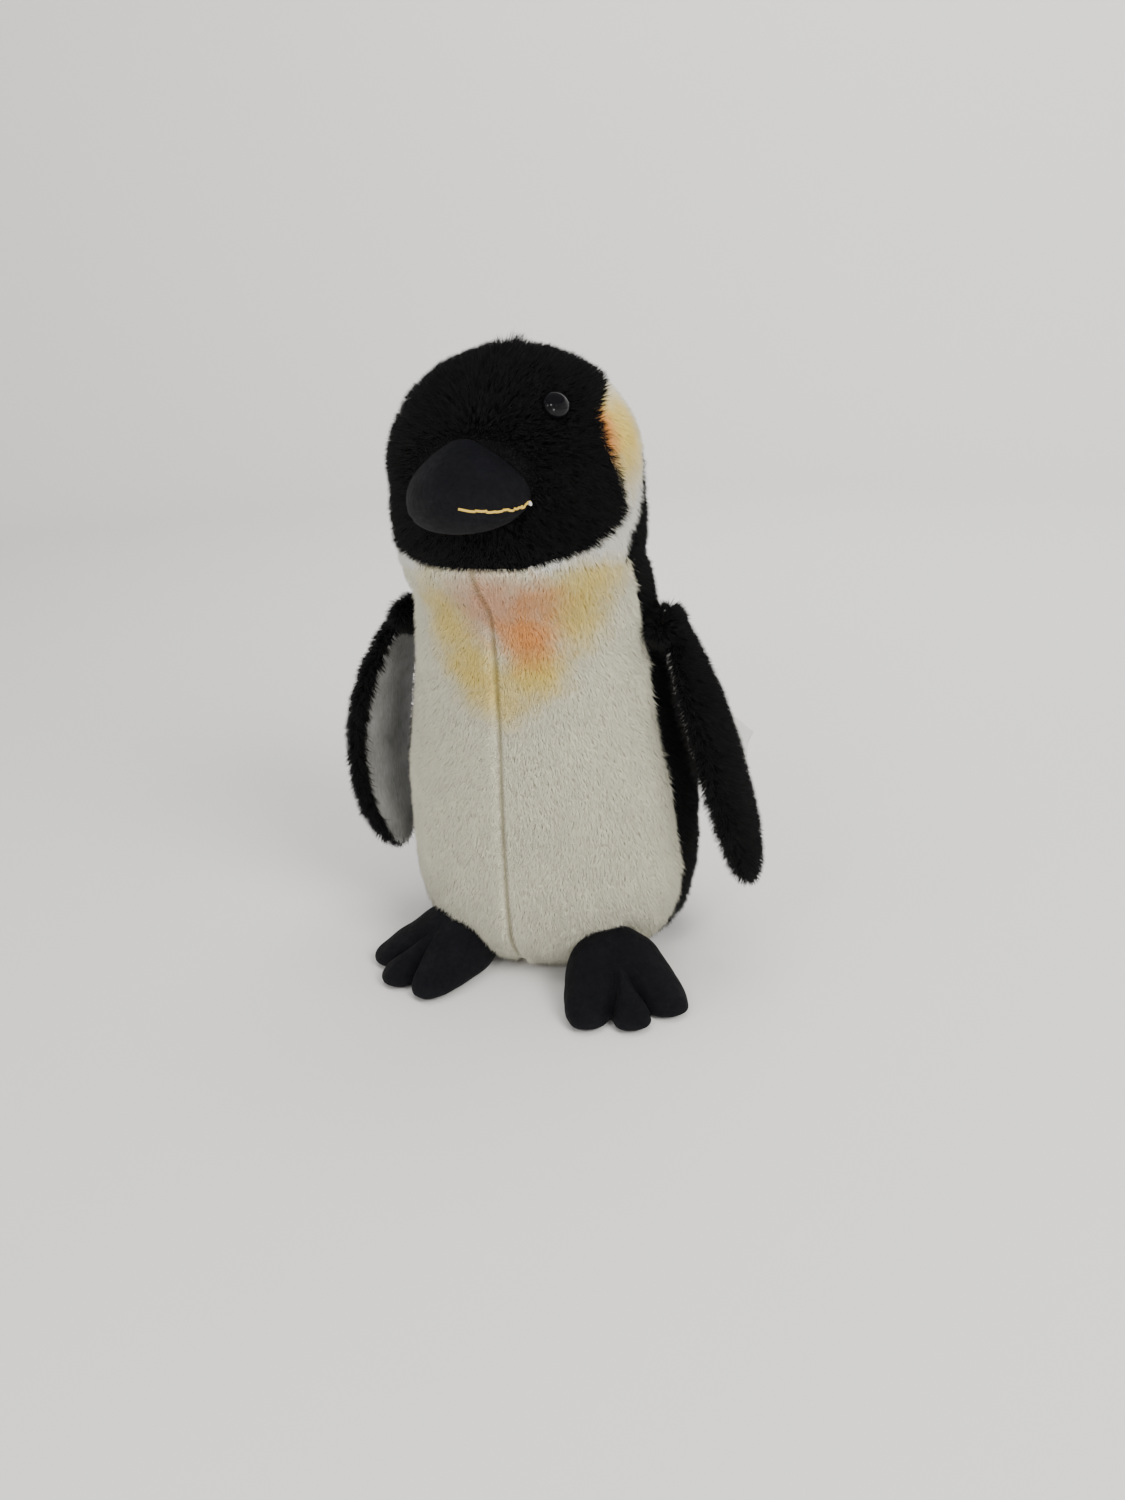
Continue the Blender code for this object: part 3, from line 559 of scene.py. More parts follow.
def dyeSpotGroup():
    # a soft sprayed spot: distance from its centre over its radii, with a wandering edge
    takes = [
        ("Position", "NodeSocketVector", None),
        ("Centre", "NodeSocketVector", (0, 0, 0)),
        ("Spread", "NodeSocketVector", (0.01, 0.01, 0.01)),
        ("Strength", "NodeSocketFloat", 1.0),
        ("Wander", "NodeSocketFloat", 0.35),
    ]
    group, n, inside, out = newGroup("sprayedSpot", takes, [("Mask", "NodeSocketFloat")])
    away = n.vector("SUBTRACT", inside.outputs["Position"], inside.outputs["Centre"]).outputs[0]
    scaled = n.vector("DIVIDE", away, inside.outputs["Spread"]).outputs[0]
    distance = n.vector("LENGTH", scaled).outputs["Value"]
    cloud = n.noise(inside.outputs["Position"], 120.0, 3.0, 0.6)
    shift = n.math("MULTIPLY", n.math("SUBTRACT", cloud, 0.5), inside.outputs["Wander"])
    edge = n.math("ADD", distance, n.math("MULTIPLY", shift, 2.0))
    mask = n.range(edge, 0.15, 1.15, 1.0, 0.0, smooth=True)
    n.put(out, "Mask", n.math("MULTIPLY", mask, inside.outputs["Strength"]))
    return group


def pileToneGroup():
    # brushed pile: broad brushed patches, fine streaks, each hair's own tone, and painted shade that
    # darkens each hair towards its root
    takes = [
        ("Color", "NodeSocketColor", (0.8, 0.8, 0.8, 1)),
        ("Patch", "NodeSocketFloat", 0.2),
        ("Streak", "NodeSocketFloat", 0.2),
        ("RootShade", "NodeSocketFloat", 0.5),
    ]
    gives = [("Color", "NodeSocketColor"), ("Tone", "NodeSocketFloat")]
    group, n, inside, out = newGroup("pileTone", takes, gives)
    place = n.add("ShaderNodeTexCoord").outputs["Object"]
    broad = n.math("SUBTRACT", n.noise(place, 55.0, 3.0, 0.55), 0.5)
    stretched = n.add("ShaderNodeMapping", inputs={"Vector": place, "Scale": (1.0, 1.0, 0.22)}).outputs[0]
    fine = n.math("SUBTRACT", n.noise(stretched, 900.0, 2.0, 0.6), 0.5)
    strand = n.add("ShaderNodeAttribute", attribute_name="strand")
    parts = n.add("ShaderNodeSeparateColor", inputs={0: strand.outputs["Color"]})
    own = n.math("SUBTRACT", parts.outputs[0], 0.5)
    brushed = n.math("MULTIPLY", broad, inside.outputs["Patch"])
    tone = n.math("ADD", brushed, n.math("MULTIPLY", fine, inside.outputs["Streak"]))
    tone = n.math("ADD", tone, n.math("MULTIPLY", own, inside.outputs["Streak"]))
    # painted shade: darker towards each hair's root, and at full strength on the cloth under the pile,
    # which has no strand attribute
    root = n.math("MULTIPLY", n.math("SUBTRACT", 1.0, parts.outputs[1]), inside.outputs["RootShade"])
    tone = n.math("SUBTRACT", n.math("ADD", tone, 1.0), root)
    value = n.add("ShaderNodeCombineColor", inputs={0: tone, 1: tone, 2: tone}).outputs[0]
    n.put(out, "Color", n.mix(1.0, inside.outputs["Color"], value, "MULTIPLY"))
    n.put(out, "Tone", tone)
    return group


def shortNapGroup():
    # velour: tiny matted fibres as a bump, with slightly greyer worn patches
    takes = [
        ("Color", "NodeSocketColor", (0.02, 0.02, 0.02, 1)),
        ("Worn", "NodeSocketColor", (0.04, 0.04, 0.05, 1)),
        ("Depth", "NodeSocketFloat", 0.3),
    ]
    gives = [("Color", "NodeSocketColor"), ("Roughness", "NodeSocketFloat"), ("Normal", "NodeSocketVector")]
    group, n, inside, out = newGroup("shortNap", takes, gives)
    place = n.add("ShaderNodeTexCoord").outputs["Object"]
    worn = n.range(n.noise(place, 90.0, 4.0, 0.6), 0.45, 0.75)
    fibres = n.noise(place, 2600.0, 2.0, 0.7)
    matted = n.noise(place, 420.0, 3.0, 0.6)
    height = n.math("ADD", fibres, n.math("MULTIPLY", matted, 1.6))
    inputs = {"Strength": inside.outputs["Depth"], "Distance": 0.0004, "Height": height}
    bump = n.add("ShaderNodeBump", inputs=inputs)
    speck = n.math("ADD", n.math("MULTIPLY", fibres, 0.5), n.math("MULTIPLY", worn, 0.6), clamp=True)
    n.put(out, "Color", n.mix(speck, inside.outputs["Color"], inside.outputs["Worn"]))
    n.put(out, "Roughness", n.range(matted, 0.3, 0.7, 0.82, 0.98))
    n.put(out, "Normal", bump.outputs[0])
    return group


groups = {"spot": dyeSpotGroup(), "tone": pileToneGroup(), "nap": shortNapGroup()}

# sprayed dye on the white pile, at places on the toy in metres
dyes = {"yellow": (0.95, 0.74, 0.19), "orange": (0.93, 0.42, 0.12), "peach": (0.88, 0.47, 0.26)}
dyeSpots = {
    # dye, centre, spread, strength
    "bib": (
        ("yellow", (-0.022, -0.060, 0.177), (0.018, 0.040, 0.030), 0.85),
        ("yellow", (-0.010, -0.060, 0.155), (0.018, 0.040, 0.021), 0.88),
        ("yellow", (0.003, -0.061, 0.143), (0.017, 0.040, 0.016), 0.70),
        ("yellow", (0.019, -0.060, 0.157), (0.018, 0.040, 0.018), 0.98),
        ("yellow", (0.036, -0.054, 0.182), (0.017, 0.040, 0.022), 0.88),
        ("yellow", (0.044, -0.050, 0.196), (0.017, 0.040, 0.013), 0.80),
        ("peach", (0.004, -0.066, 0.188), (0.025, 0.040, 0.024), 0.85),
        ("orange", (0.016, -0.060, 0.172), (0.019, 0.040, 0.018), 0.98),
        ("orange", (0.024, -0.066, 0.190), (0.015, 0.040, 0.014), 0.72),
    ),
    "cheek": (
        ("yellow", (0.054, -0.028, 0.254), (0.040, 0.036, 0.030), 1.0),
        ("orange", (0.051, -0.041, 0.256), (0.020, 0.010, 0.020), 1.0),
        ("yellow", (-0.054, -0.028, 0.254), (0.040, 0.036, 0.030), 1.0),
        ("orange", (-0.051, -0.041, 0.256), (0.020, 0.010, 0.020), 1.0),
    ),
}


# root sets how much painted shade darkens the hairs towards their roots and the cloth under them
def pileMaterial(name, colour, patch, streak, root, roughness=0.9, sheen=0.0, spots=(), seam=None):
    material, n, shader = plainMaterial(name, colour, roughness)
    base = (*colour, 1)
    place = n.add("ShaderNodeTexCoord").outputs["Object"]
    for dye, centre, spread, strength in spots:
        inputs = {"Position": place, "Centre": centre, "Spread": spread, "Strength": strength}
        spot = n.add("ShaderNodeGroup", node_tree=groups["spot"], inputs=inputs)
        base = n.mix(spot.outputs[0], base, (*dyes[dye], 1))
    # painted shade: the pile's colour is darkened along the front's middle seam, where its groove lies in
    # shade
    if seam:
        across = n.add("ShaderNodeSeparateXYZ", inputs={0: place}).outputs[0]
        shade = n.range(n.math("ABSOLUTE", across), 0.0002, 0.0024, 1.0, 0.0, smooth=True)
        base = n.mix(shade, base, (*seam, 1), "MULTIPLY")
    inputs = {"Color": base, "Patch": patch, "Streak": streak, "RootShade": root}
    tone = n.add("ShaderNodeGroup", node_tree=groups["tone"], inputs=inputs)
    n.put(shader, "Base Color", tone.outputs["Color"])
    n.put(shader, "Sheen Weight", sheen)
    n.put(shader, "Sheen Roughness", 0.5)
    n.put(shader, "Specular IOR Level", 0.25)
    return material


def napMaterial(name, colour, worn, depth, sheen=0.012):
    material, n, shader = plainMaterial(name, colour, 0.9)
    inputs = {"Color": (*colour, 1), "Worn": (*worn, 1), "Depth": depth}
    nap = n.add("ShaderNodeGroup", node_tree=groups["nap"], inputs=inputs)
    n.put(shader, "Base Color", nap.outputs["Color"])
    for key in ("Roughness", "Normal"):
        n.put(shader, key, nap.outputs[key])
    n.put(shader, "Specular IOR Level", 0.2)
    n.put(shader, "Sheen Weight", sheen)
    n.put(shader, "Sheen Roughness", 0.4)
    return material


whiteTone = (0.89, 0.865, 0.69)
cheekTone = (0.95, 0.94, 0.86)
seamShadeTone = (0.54, 0.52, 0.45)
bibSpots, cheekSpots = dyeSpots["bib"], dyeSpots["cheek"] + dyeSpots["bib"]
looks = {
    # name, colour, patch, streak, painted root shade, roughness, sheen, spots, painted seam shade
    "whitePile": pileMaterial("whitePile", whiteTone, 0.14, 0.10, 0.14, 0.85, 0.12, bibSpots, seamShadeTone),
    "cheekPile": pileMaterial("cheekPile", cheekTone, 0.10, 0.12, 0.12, 0.85, 0.15, cheekSpots),
    "blackPile": pileMaterial("blackPile", (0.0052, 0.0052, 0.0058), 0.3, 0.5, 0.5, 0.8, 0.0),
    "greyPile": pileMaterial("greyPile", (0.52, 0.52, 0.50), 0.5, 0.35, 0.4, 0.9, 0.10),
    "blackNap": napMaterial("blackNap", (0.0026, 0.0026, 0.0038), (0.0056, 0.0058, 0.0080), 0.6, 0.006),
    "filling": napMaterial("pressedFilling", (0.80, 0.80, 0.78), (0.70, 0.70, 0.68), 0.9),
    "baseCloth": napMaterial("baseCloth", (0.42, 0.37, 0.30), (0.33, 0.29, 0.23), 0.5),
    "washer": napMaterial("mouldedWasher", (0.012, 0.012, 0.013), (0.020, 0.020, 0.021), 0.1),
}


# hair length and half width at the root, degrees it leans, how it lies, tuft size and pull
pileColumns = ("length", "half", "lean", "wild", "swirl", "tuft", "pull", "perSquareMm")
pileRows = {
    "white": (0.0045, 0.00022, 56, 0.36, 0.45, 0.0024, 0.20, 2.9),
    "cheek": (0.0046, 0.00024, 55, 0.30, 0.30, 0.0030, 0.30, 3.0),
    "black": (0.0056, 0.00026, 40, 0.50, 0.55, 0.0024, 0.62, 2.6),
    "grey": (0.0036, 0.00026, 60, 0.35, 0.50, 0.0026, 0.40, 2.6),
}
pileLooks = {kind: dict(zip(pileColumns, row)) for kind, row in pileRows.items()}
pileCount = {"limit": 48000, "hairs": 0}


def makePile(name, patch, kind, seed, inset, material, comb=None, trim=None):
    # Hairs stand on random points of the patch, denser where it is larger. Each is a closed spike of
    # four triangles: its tip is the root plus a length along the normal leaned towards the combed
    # direction, pulled part of the way to its tuft's own tip.
    look = pileLooks[kind]
    rng = np.random.default_rng(seed)
    u, v = rng.random((2, 400))
    _, area = patchNormal(patch, u, v, inset)
    whole = float(np.mean(area)) / 4e-6 * 1e6
    count = int(min(pileCount["limit"], whole * look["perSquareMm"]))
    tries = rng.random((2, count * 4 + 400))
    _, area = patchNormal(patch, *tries, inset)
    kept = rng.random(area.shape) < area / np.quantile(area, 0.995)
    u, v = tries[:, kept][:, :count]
    count = len(u)
    root = patch(u, v, inset)
    normal, _ = patchNormal(patch, u, v, inset)
    outward = np.sign(np.einsum("ij,ij->i", normal, root - patchMiddle(patch, inset)))
    normal = normal * np.where(outward == 0, 1, outward)[:, None]

    down = np.array([0, 0, -1.0]) if comb is None else comb(root)
    flat = down - normal * np.einsum("ij,ij->i", np.broadcast_to(down, normal.shape), normal)[:, None]
    flat = unit(flat, 1e-6)
    side = np.cross(normal, flat)
    swirl = 0.7 * waves(root, 0.06, seed + 1) + 0.3 * waves(root, 0.02, seed + 2)
    turn = look["swirl"] * swirl + look["wild"] * rng.normal(size=count)
    flat = flat * np.cos(turn)[:, None] + side * np.sin(turn)[:, None]
    lean = np.radians(look["lean"]) + 0.16 * rng.normal(size=count) + 0.14 * waves(root, 0.012, seed + 3)
    way = normal * np.cos(lean)[:, None] + flat * np.sin(lean)[:, None]
    length = look["length"] * (0.75 + 0.5 * rng.random(count))
    if trim is not None:
        length = length * trim(root, u, v)
    tip = root + way * length[:, None]

    # tufts: cells on a shaken grid; a hair's tip moves towards the mean tip of its cell
    shaken = np.stack([waves(root, 0.008, seed + 4 + k) for k in range(3)], -1)
    cell = np.floor((root + 0.4 * look["tuft"] * shaken) / look["tuft"]).astype(np.int64)
    key = cell[:, 0] * 73856093 ^ cell[:, 1] * 19349663 ^ cell[:, 2] * 83492791
    _, tuft = np.unique(key, return_inverse=True)
    size = np.bincount(tuft)
    centre = np.stack([np.bincount(tuft, tip[:, k]) / size for k in range(3)], -1)
    pulled = centre[tuft] + way * length[:, None] * 0.25
    tip = tip + (pulled - tip) * look["pull"] * rng.random(count)[:, None] ** 0.5

    # three root corners round the hair, in the plane across it
    ahead = unit(tip - root, 1e-9)
    across = unit(np.cross(ahead, normal + 1e-3), 1e-9)
    other = np.cross(ahead, across)
    spin = rng.random(count) * 2 * math.pi
    half = look["half"] * (0.8 + 0.5 * rng.random(count))
    corners = []
    for k in range(3):
        a = spin + k * 2 * math.pi / 3
        corners.append(root + (across * np.cos(a)[:, None] + other * np.sin(a)[:, None]) * half[:, None])
    points = np.stack([*corners, tip], 1)
    resting = cut["floor"] * (1 + rng.random(count))
    points[..., 2] = np.maximum(points[..., 2], resting[:, None])  # pile lies on the ground
    ob = spikes(name, points, u, v, rng.random(count), material)
    pileCount["hairs"] += count
    return ob


def patchMiddle(patch, inset):
    line = np.linspace(0, 1, 9)
    u, v = np.meshgrid(line, line)
    middle = patch(u, v, inset).reshape(-1, 3).mean(0)
    return middle * np.array([0.0 if abs(middle[0]) < 0.06 else 0.9, 0.3, 1.0])


def spikes(name, points, u, v, own, material):
    # points holds three root corners and a tip for each hair; faces share them, all facing outwards
    count = len(points)
    mesh = bpy.data.meshes.new(name)
    mesh.vertices.add(count * 4)
    mesh.vertices.foreach_set("co", points.astype(np.float32).ravel())
    pattern = np.array([0, 1, 3, 1, 2, 3, 2, 0, 3, 0, 2, 1])
    mesh.loops.add(count * 12)
    corners = np.arange(count)[:, None] * 4 + pattern
    mesh.loops.foreach_set("vertex_index", corners.astype(np.int32).ravel())
    mesh.polygons.add(count * 4)
    mesh.polygons.foreach_set("loop_start", (np.arange(count * 4) * 3).astype(np.int32))
    mesh.update(calc_edges=True)
    shade = mesh.attributes.new("strand", "FLOAT_COLOR", "POINT")
    values = np.ones((count, 4, 4), np.float32)
    values[..., 0] = own[:, None]
    values[..., 1] = np.array([0.0, 0.0, 0.0, 1.0])
    shade.data.foreach_set("color", values.ravel())
    layer = mesh.uv_layers.new(name="OFBake")
    spread = np.array([[-1, -1], [1, -1], [0, 1]]) * 0.0016
    at = np.stack([u, v], -1) * 0.98 + 0.01
    uv = np.broadcast_to((at[:, None, None] + spread[None, None]), (count, 4, 3, 2))
    layer.data.foreach_set("uv", np.clip(uv, 0, 1).astype(np.float32).ravel())
    mesh.materials.append(material)
    ob = bpy.data.objects.new(name, mesh)
    bpy.context.scene.collection.objects.link(ob)
    return ob


def skinSheet(name, patch, rows, columns, inset, material):
    # the cloth under the pile: the patch on an even grid, given a wall inwards
    u, v = np.meshgrid(np.linspace(0, 1, columns), np.linspace(0, 1, rows))
    grid = patch(u, v, inset)
    ob = gridObject(name, grid)
    normal, _ = patchNormal(patch, np.array([0.5]), np.array([0.5]), inset)
    middle = patch(np.array([0.5]), np.array([0.5]), inset)[0]
    facing = np.dot(normal[0], middle - patchMiddle(patch, inset))
    first = ob.data.polygons[(rows // 2) * (columns - 1) + columns // 2].normal
    if np.dot(np.array(first), normal[0]) * facing < 0:
        ob.data.flip_normals()
    layer = ob.data.uv_layers.new(name="OFBake")
    corner = np.zeros(len(ob.data.loops), np.int32)
    ob.data.loops.foreach_get("vertex_index", corner)
    flatUv = np.stack([u.ravel(), v.ravel()], -1)[corner]
    layer.data.foreach_set("uv", flatUv.astype(np.float32).ravel())
    ob.data.materials.append(material)
    closeWall(ob, cut["clothThickness"])
    return ob


frontSeam = {"width": 0.0040, "shortest": 0.22, "groove": 0.0005, "grooveWidth": 0.0022}


def frontTrim(root, u, v):
    # shortens the pile close to the seam down the middle of the front
    shortest = frontSeam["shortest"]
    return shortest + (1 - shortest) * easeStep(np.abs(root[:, 0]), 0.0004, frontSeam["width"])


def frontComb(root):
    # down, and away from the seam where it is close
    near = np.exp(-np.abs(root[:, 0]) / frontSeam["width"])
    return np.stack([np.sign(root[:, 0]) * 0.9 * near, 0 * near, -np.ones(len(root))], -1)


seeds = {"now": 11, "step": 17}


def nextSeed():
    seeds["now"] += seeds["step"]
    return seeds["now"]


def dress(
    name, patch, kind, rows, columns, place,
    nodes=(), comb=None, trim=None, inset=cut["skinInset"],
):
    # one panel: its cloth, its pile on it, and the frame's nodes that they stand for
    material = looks[kind + "Pile"]
    skin = skinSheet(name + "Cloth", patch, rows, columns, inset, material)
    pile = makePile(name + "Pile", patch, kind, nextSeed(), inset - cut["pileSunk"], material, comb, trim)
    for ob in (skin, pile):
        place(ob)
    if nodes:
        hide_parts(*nodes)


def rideOn(body):
    return lambda ob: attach(ob, body)


def blendUp():
    def place(ob):
        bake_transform(ob)

    return place


bodyParts = (
    # part, pile, slot, columns, comb, trim
    ("front", "white", "white_pile", 40, frontComb, frontTrim),
    ("back", "black", "black_pile", 44, None, None),
)


def makeBody():
    top, neck = cut["torsoTop"], neckAt[2]
    collar = blendUp()
    throat = blendUp()
    for name, side in sides.items():
        for part, kind, slot, columns, comb, trim in bodyParts:
            title = part + name.capitalize()
            nodes = (f"{part}_panel_{name}",)
            lower = bodyPatch(side, part, cut["bottom"], top)
            dress(title, lower, kind, 60, columns, rideOn("torso"), nodes, comb, trim)
            upper = bodyPatch(side, part, top, neck)
            dress(title + "Collar", upper, kind, 20, columns, collar, (), comb, trim)
            rim = neckTopPatch(side, part)
            dress(title + "Throat", rim, kind, 10, columns, throat, (), comb, trim)
    print("body and neck covered")


def headComb(root):
    # on the face the pile is combed back from the beak and down
    beakBase = headSize["middle"] + np.array([0, -headSize["halfDepth"], -0.004])
    return unit(root - beakBase, 1e-6) * 0.8 + np.array([0, 0.1, -0.75])


def clearOfFace(root, u, v):
    # no pile under the eyes, shorter pile round them and round the beak
    amount = np.ones(len(root))
    for name, side in sides.items():
        eye = headSurface(np.array(side * eyeSize["turn"][name]), np.array(eyeSize["level"]), 0.0)
        gap = np.linalg.norm(root - eye, axis=1)
        clear = eyeSize["clear"][name]
        amount *= 0.12 + 0.88 * easeStep(gap, eyeSize["radius"] * 0.7, clear)
    # longer over the crown's seam, shorter at the rim
    crown = headSize["middle"][2] + headSize["rise"]
    top = easeStep(root[:, 2], crown - 0.0075, crown - 0.003)
    amount *= 1 + 0.7 * top * np.exp(-((root[:, 0] / 0.0035) ** 2))
    amount *= 0.45 + 0.55 * easeStep(v, 0.0, 0.10)
    middle, _ = beakAxis()
    high = (root[:, 2] - middle[2]) / (beakSize["height"] / 2)
    gap = np.hypot(root[:, 0] / (beakSize["width"] / 2), high)
    near = np.where(root[:, 1] < middle[1] + 0.02, gap, 9.0)
    return amount * (0.10 + 0.90 * easeStep(near, 0.85, 1.25))


headParts = (
    # part, pile, slot, rows, columns, comb, trim
    ("hood", "black", "black_pile", 60, 40, headComb, clearOfFace),
    ("cheek", "cheek", "dyed_white_pile", 50, 16, None, None),
    ("nape", "black", "black_pile", 60, 34, None, None),
)


def makeHead():
    for name, side in sides.items():
        for part, kind, slot, rows, columns, comb, trim in headParts:
            nodes = (f"{part}_{name}",)
            if part == "nape":  # the frame has one nape for both sides
                nodes = ("nape_panel",) if name == "left" else ()
            patch = headPatch(side, part)
            title = part + name.capitalize()
            place = rideOn("head")
            dress(title, patch, kind, rows, columns, place, nodes, comb, trim, cut["headInset"])
    print("head covered")


beakSize = {
    "width": 0.0528,
    "height": 0.0338,
    "length": 0.0240,
    "drop": 0.005,
    "level": 0.0,
    "taper": 0.46,  # narrower at the top of its base
    "mouth": math.radians(-27),
    "seamBelow": 0.30,  # radians from the mouth round to the seam under it
    "seamWidth": 0.0009,
    "seamDepth": 0.0007,
}
eyeSize = {
    "turn": {"left": math.radians(45), "right": math.radians(52)},
    "level": math.radians(32.5),
    "radius": 0.0058,
    "dome": 0.0050,
    "clear": {"left": 0.0095, "right": 0.0056},  # pile is shorter within this distance
    "sunk": {"left": 0.0002, "right": 0.0036},
}


def beakAxis():
    middle = headSurface(np.array(0.0), np.array(beakSize["level"]), 0.0)
    tip = middle + np.array([0, -beakSize["length"], -beakSize["drop"]])
    return middle, tip


def beakSurface(angle, along, inset=0.0):
    # a rounded cone: the base outline on the face shrinks towards a tip that points slightly down
    middle, tip = beakAxis()
    half = math.asin((beakSize["width"] / 2 - inset) / headSize["halfDepth"])
    tilt = (beakSize["height"] / 2 - inset) / headSize["rise"]
    narrow = 1 - beakSize["taper"] * np.sin(angle)
    rim = headSurface(half * np.cos(angle) * narrow, beakSize["level"] + tilt * np.sin(angle), 0.0025)
    shrink = np.clip(1 - along**2.2, 0, 1) ** 0.5
    return middle + (tip - middle) * along[..., None] + (rim - middle) * shrink[..., None]


def makeBeak():
    rows, columns = 44, 96
    along = np.sin(np.linspace(0, math.pi / 2, rows))[:, None] * 0.9995
    angle = fullTurn(columns)[None, :]
    along, angle = np.broadcast_arrays(along, angle)
    points = beakSurface(angle, along)
    # the seam under the mouth is a shallow groove at two angles round the axis
    seam = beakSize["mouth"] - beakSize["seamBelow"]
    for at in (seam, math.pi - seam):
        away = turnAway(angle - at) * beakSize["height"] / 2
        groove = np.exp(-((away / beakSize["seamWidth"]) ** 2)) * beakSize["seamDepth"]
        middle, tip = beakAxis()
        axis = middle + (tip - middle) * along[..., None]
        points = points + unit(axis - points, 1e-6) * groove[..., None]
    beak = turnedBody("beakCover", points)
    beak.data.materials.append(looks["blackNap"])
    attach(beak, "head")
    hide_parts("beak_upper", "beak_lower", "beak_stuffing")
    print("beak made")


threadLook = {
    "radius": 0.00050,
    "stitches": 11,
    "from": {"left": 0.03, "right": 0.05},  # share of the beak's length where the thread starts
    "to": {"left": 0.95, "right": 0.30},
}


def makeMouth(name, side):
    # running stitches along the seam, each a short arc that dips into the cloth at both ends
    start, end = threadLook["from"][name], threadLook["to"][name]
    mouth = beakSize["mouth"] if side > 0 else math.pi - beakSize["mouth"]
    pieces = []
    count = threadLook["stitches"]
    for k in range(count):
        first = start + (end - start) * k / count
        last = start + (end - start) * (k + 1.05) / count
        t = np.linspace(0, 1, 9)
        along = first + (last - first) * t
        sway = 0.022 * math.sin(k * 2.3) + 0.012 * np.sin(t * math.pi + k)
        lift = 0.00035 * np.sin(t * math.pi) + 0.00002
        point = beakSurface(mouth + side * sway, along)
        out = unit(beakSurface(mouth + side * sway, along, -0.001) - point)
        pieces.append(tube("stitch", point + out * lift[:, None], threadLook["radius"]))
        pieces[-1].data.materials.append(looks["goldThread"])
    corner = beakSurface(np.array([mouth]), np.array([start]))[0]
    steps = np.arange(4)[:, None] * np.array([side * 0.0005, -0.0004, -0.0005])
    knot = tube("knot", corner + np.array([0, -0.0009, 0.0002]) + steps, [0.0003, 0.0008, 0.0008, 0.0003])
    knot.data.materials.append(looks["threadEnd"])
    thread = joined("mouthThread" + name.capitalize(), [*pieces, knot])
    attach(thread, "head")
    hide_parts("mouth_thread_" + name)


def threadMaterial(name, dark, light):
    # twisted strands: bands that run slantwise along the thread
    material, n, shader = plainMaterial(name, light, 0.5)
    place = n.add("ShaderNodeTexCoord").outputs["Object"]
    inputs = {"Vector": place, "Scale": 900.0, "Distortion": 1.0}
    bands = n.add("ShaderNodeTexWave", bands_direction="DIAGONAL", inputs=inputs).outputs["Fac"]
    n.put(shader, "Base Color", n.mix(bands, (*dark, 1), (*light, 1)))
    return material


looks["goldThread"] = threadMaterial("goldThread", (0.42, 0.25, 0.03), (0.78, 0.56, 0.12))
looks["threadEnd"] = threadMaterial("threadEnd", (0.50, 0.50, 0.46), (0.72, 0.72, 0.68))


def eyeMaterial():
    # dark glossy plastic with a painted highlight: a pale crescent near its edge that stands in for a
    # reflection
    material, n, shader = plainMaterial("eyePlastic", (0.008, 0.008, 0.009), 0.03)
    ring = n.add("ShaderNodeAttribute", attribute_name="ring").outputs["Fac"]
    risen = n.range(ring, 0.78, 0.90, 0.0, 1.0, smooth=True)
    edge = n.math("MULTIPLY", risen, n.range(ring, 0.95, 1.0, 1.0, 0.0))
    paintedHighlightSide = n.add("ShaderNodeAttribute", attribute_name="paintedHighlightSide").outputs["Fac"]
    edge = n.math("MULTIPLY", edge, paintedHighlightSide)
    # painted highlight: a pale grey-blue colour on the crescent
    n.put(shader, "Base Color", n.mix(edge, (0.004, 0.004, 0.005, 1), (0.22, 0.25, 0.26, 1)))
    shader.inputs["Specular IOR Level"].default_value = 0.18
    return material


looks["eye"] = eyeMaterial()


def eyeAxes(name):
    angle, level = sides[name] * eyeSize["turn"][name], eyeSize["level"]
    place = headSurface(np.array(angle), np.array(level), eyeSize["sunk"][name])
    e = 0.01

    def at(turn, rise):
        return headSurface(np.array(turn), np.array(rise), 0.0)

    across = at(angle + e, level) - at(angle - e, level)
    along = at(angle, level + e) - at(angle, level - e)
    out = np.cross(across, along)
    out /= np.linalg.norm(out)
    across = across / np.linalg.norm(across)
    return place, out, across, np.cross(out, across)


def makeEye(name, side):
    # a dome turned about the outward axis, a flange under it, and the shank through the hood
    place, out, across, up = eyeAxes(name)
    radius, dome = eyeSize["radius"], eyeSize["dome"]
    t = np.linspace(0, math.radians(88), 22)
    height = np.concatenate([[-0.0125, -0.0125, -0.0008, -0.0006], dome * np.sin(t)])
    wide = np.concatenate([[0.0008, 0.0015, 0.0015, radius * 0.99], radius * np.cos(t)])
    turn = fullTurn(48)
    ring = across * np.cos(turn)[:, None] + up * np.sin(turn)[:, None]
    rings = place + out * height[:, None, None] + ring[None] * wide[:, None, None]
    eye = turnedBody("eye" + name.capitalize(), rings)
    values = np.concatenate([np.repeat(wide / radius, len(turn)), [0.0, 0.0]]).astype(np.float32)
    eye.data.attributes.new("ring", "FLOAT", "POINT").data.foreach_set("value", values)
    # the painted highlight, a pale crescent, lies on the upper side that faces away from the beak
    towards = np.cos(turn - (math.radians(50) if side > 0 else math.radians(130)))
    paintedHighlightSide = np.tile(easeStep(towards, 0.35, 0.85), len(wide))
    paintedHighlightSide = np.concatenate([paintedHighlightSide, [0.0, 0.0]]).astype(np.float32)
    eye.data.attributes.new("paintedHighlightSide", "FLOAT", "POINT").data.foreach_set("value", paintedHighlightSide)
    eye.data.materials.append(looks["eye"])
    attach(eye, "head")
    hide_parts("eye_" + name)


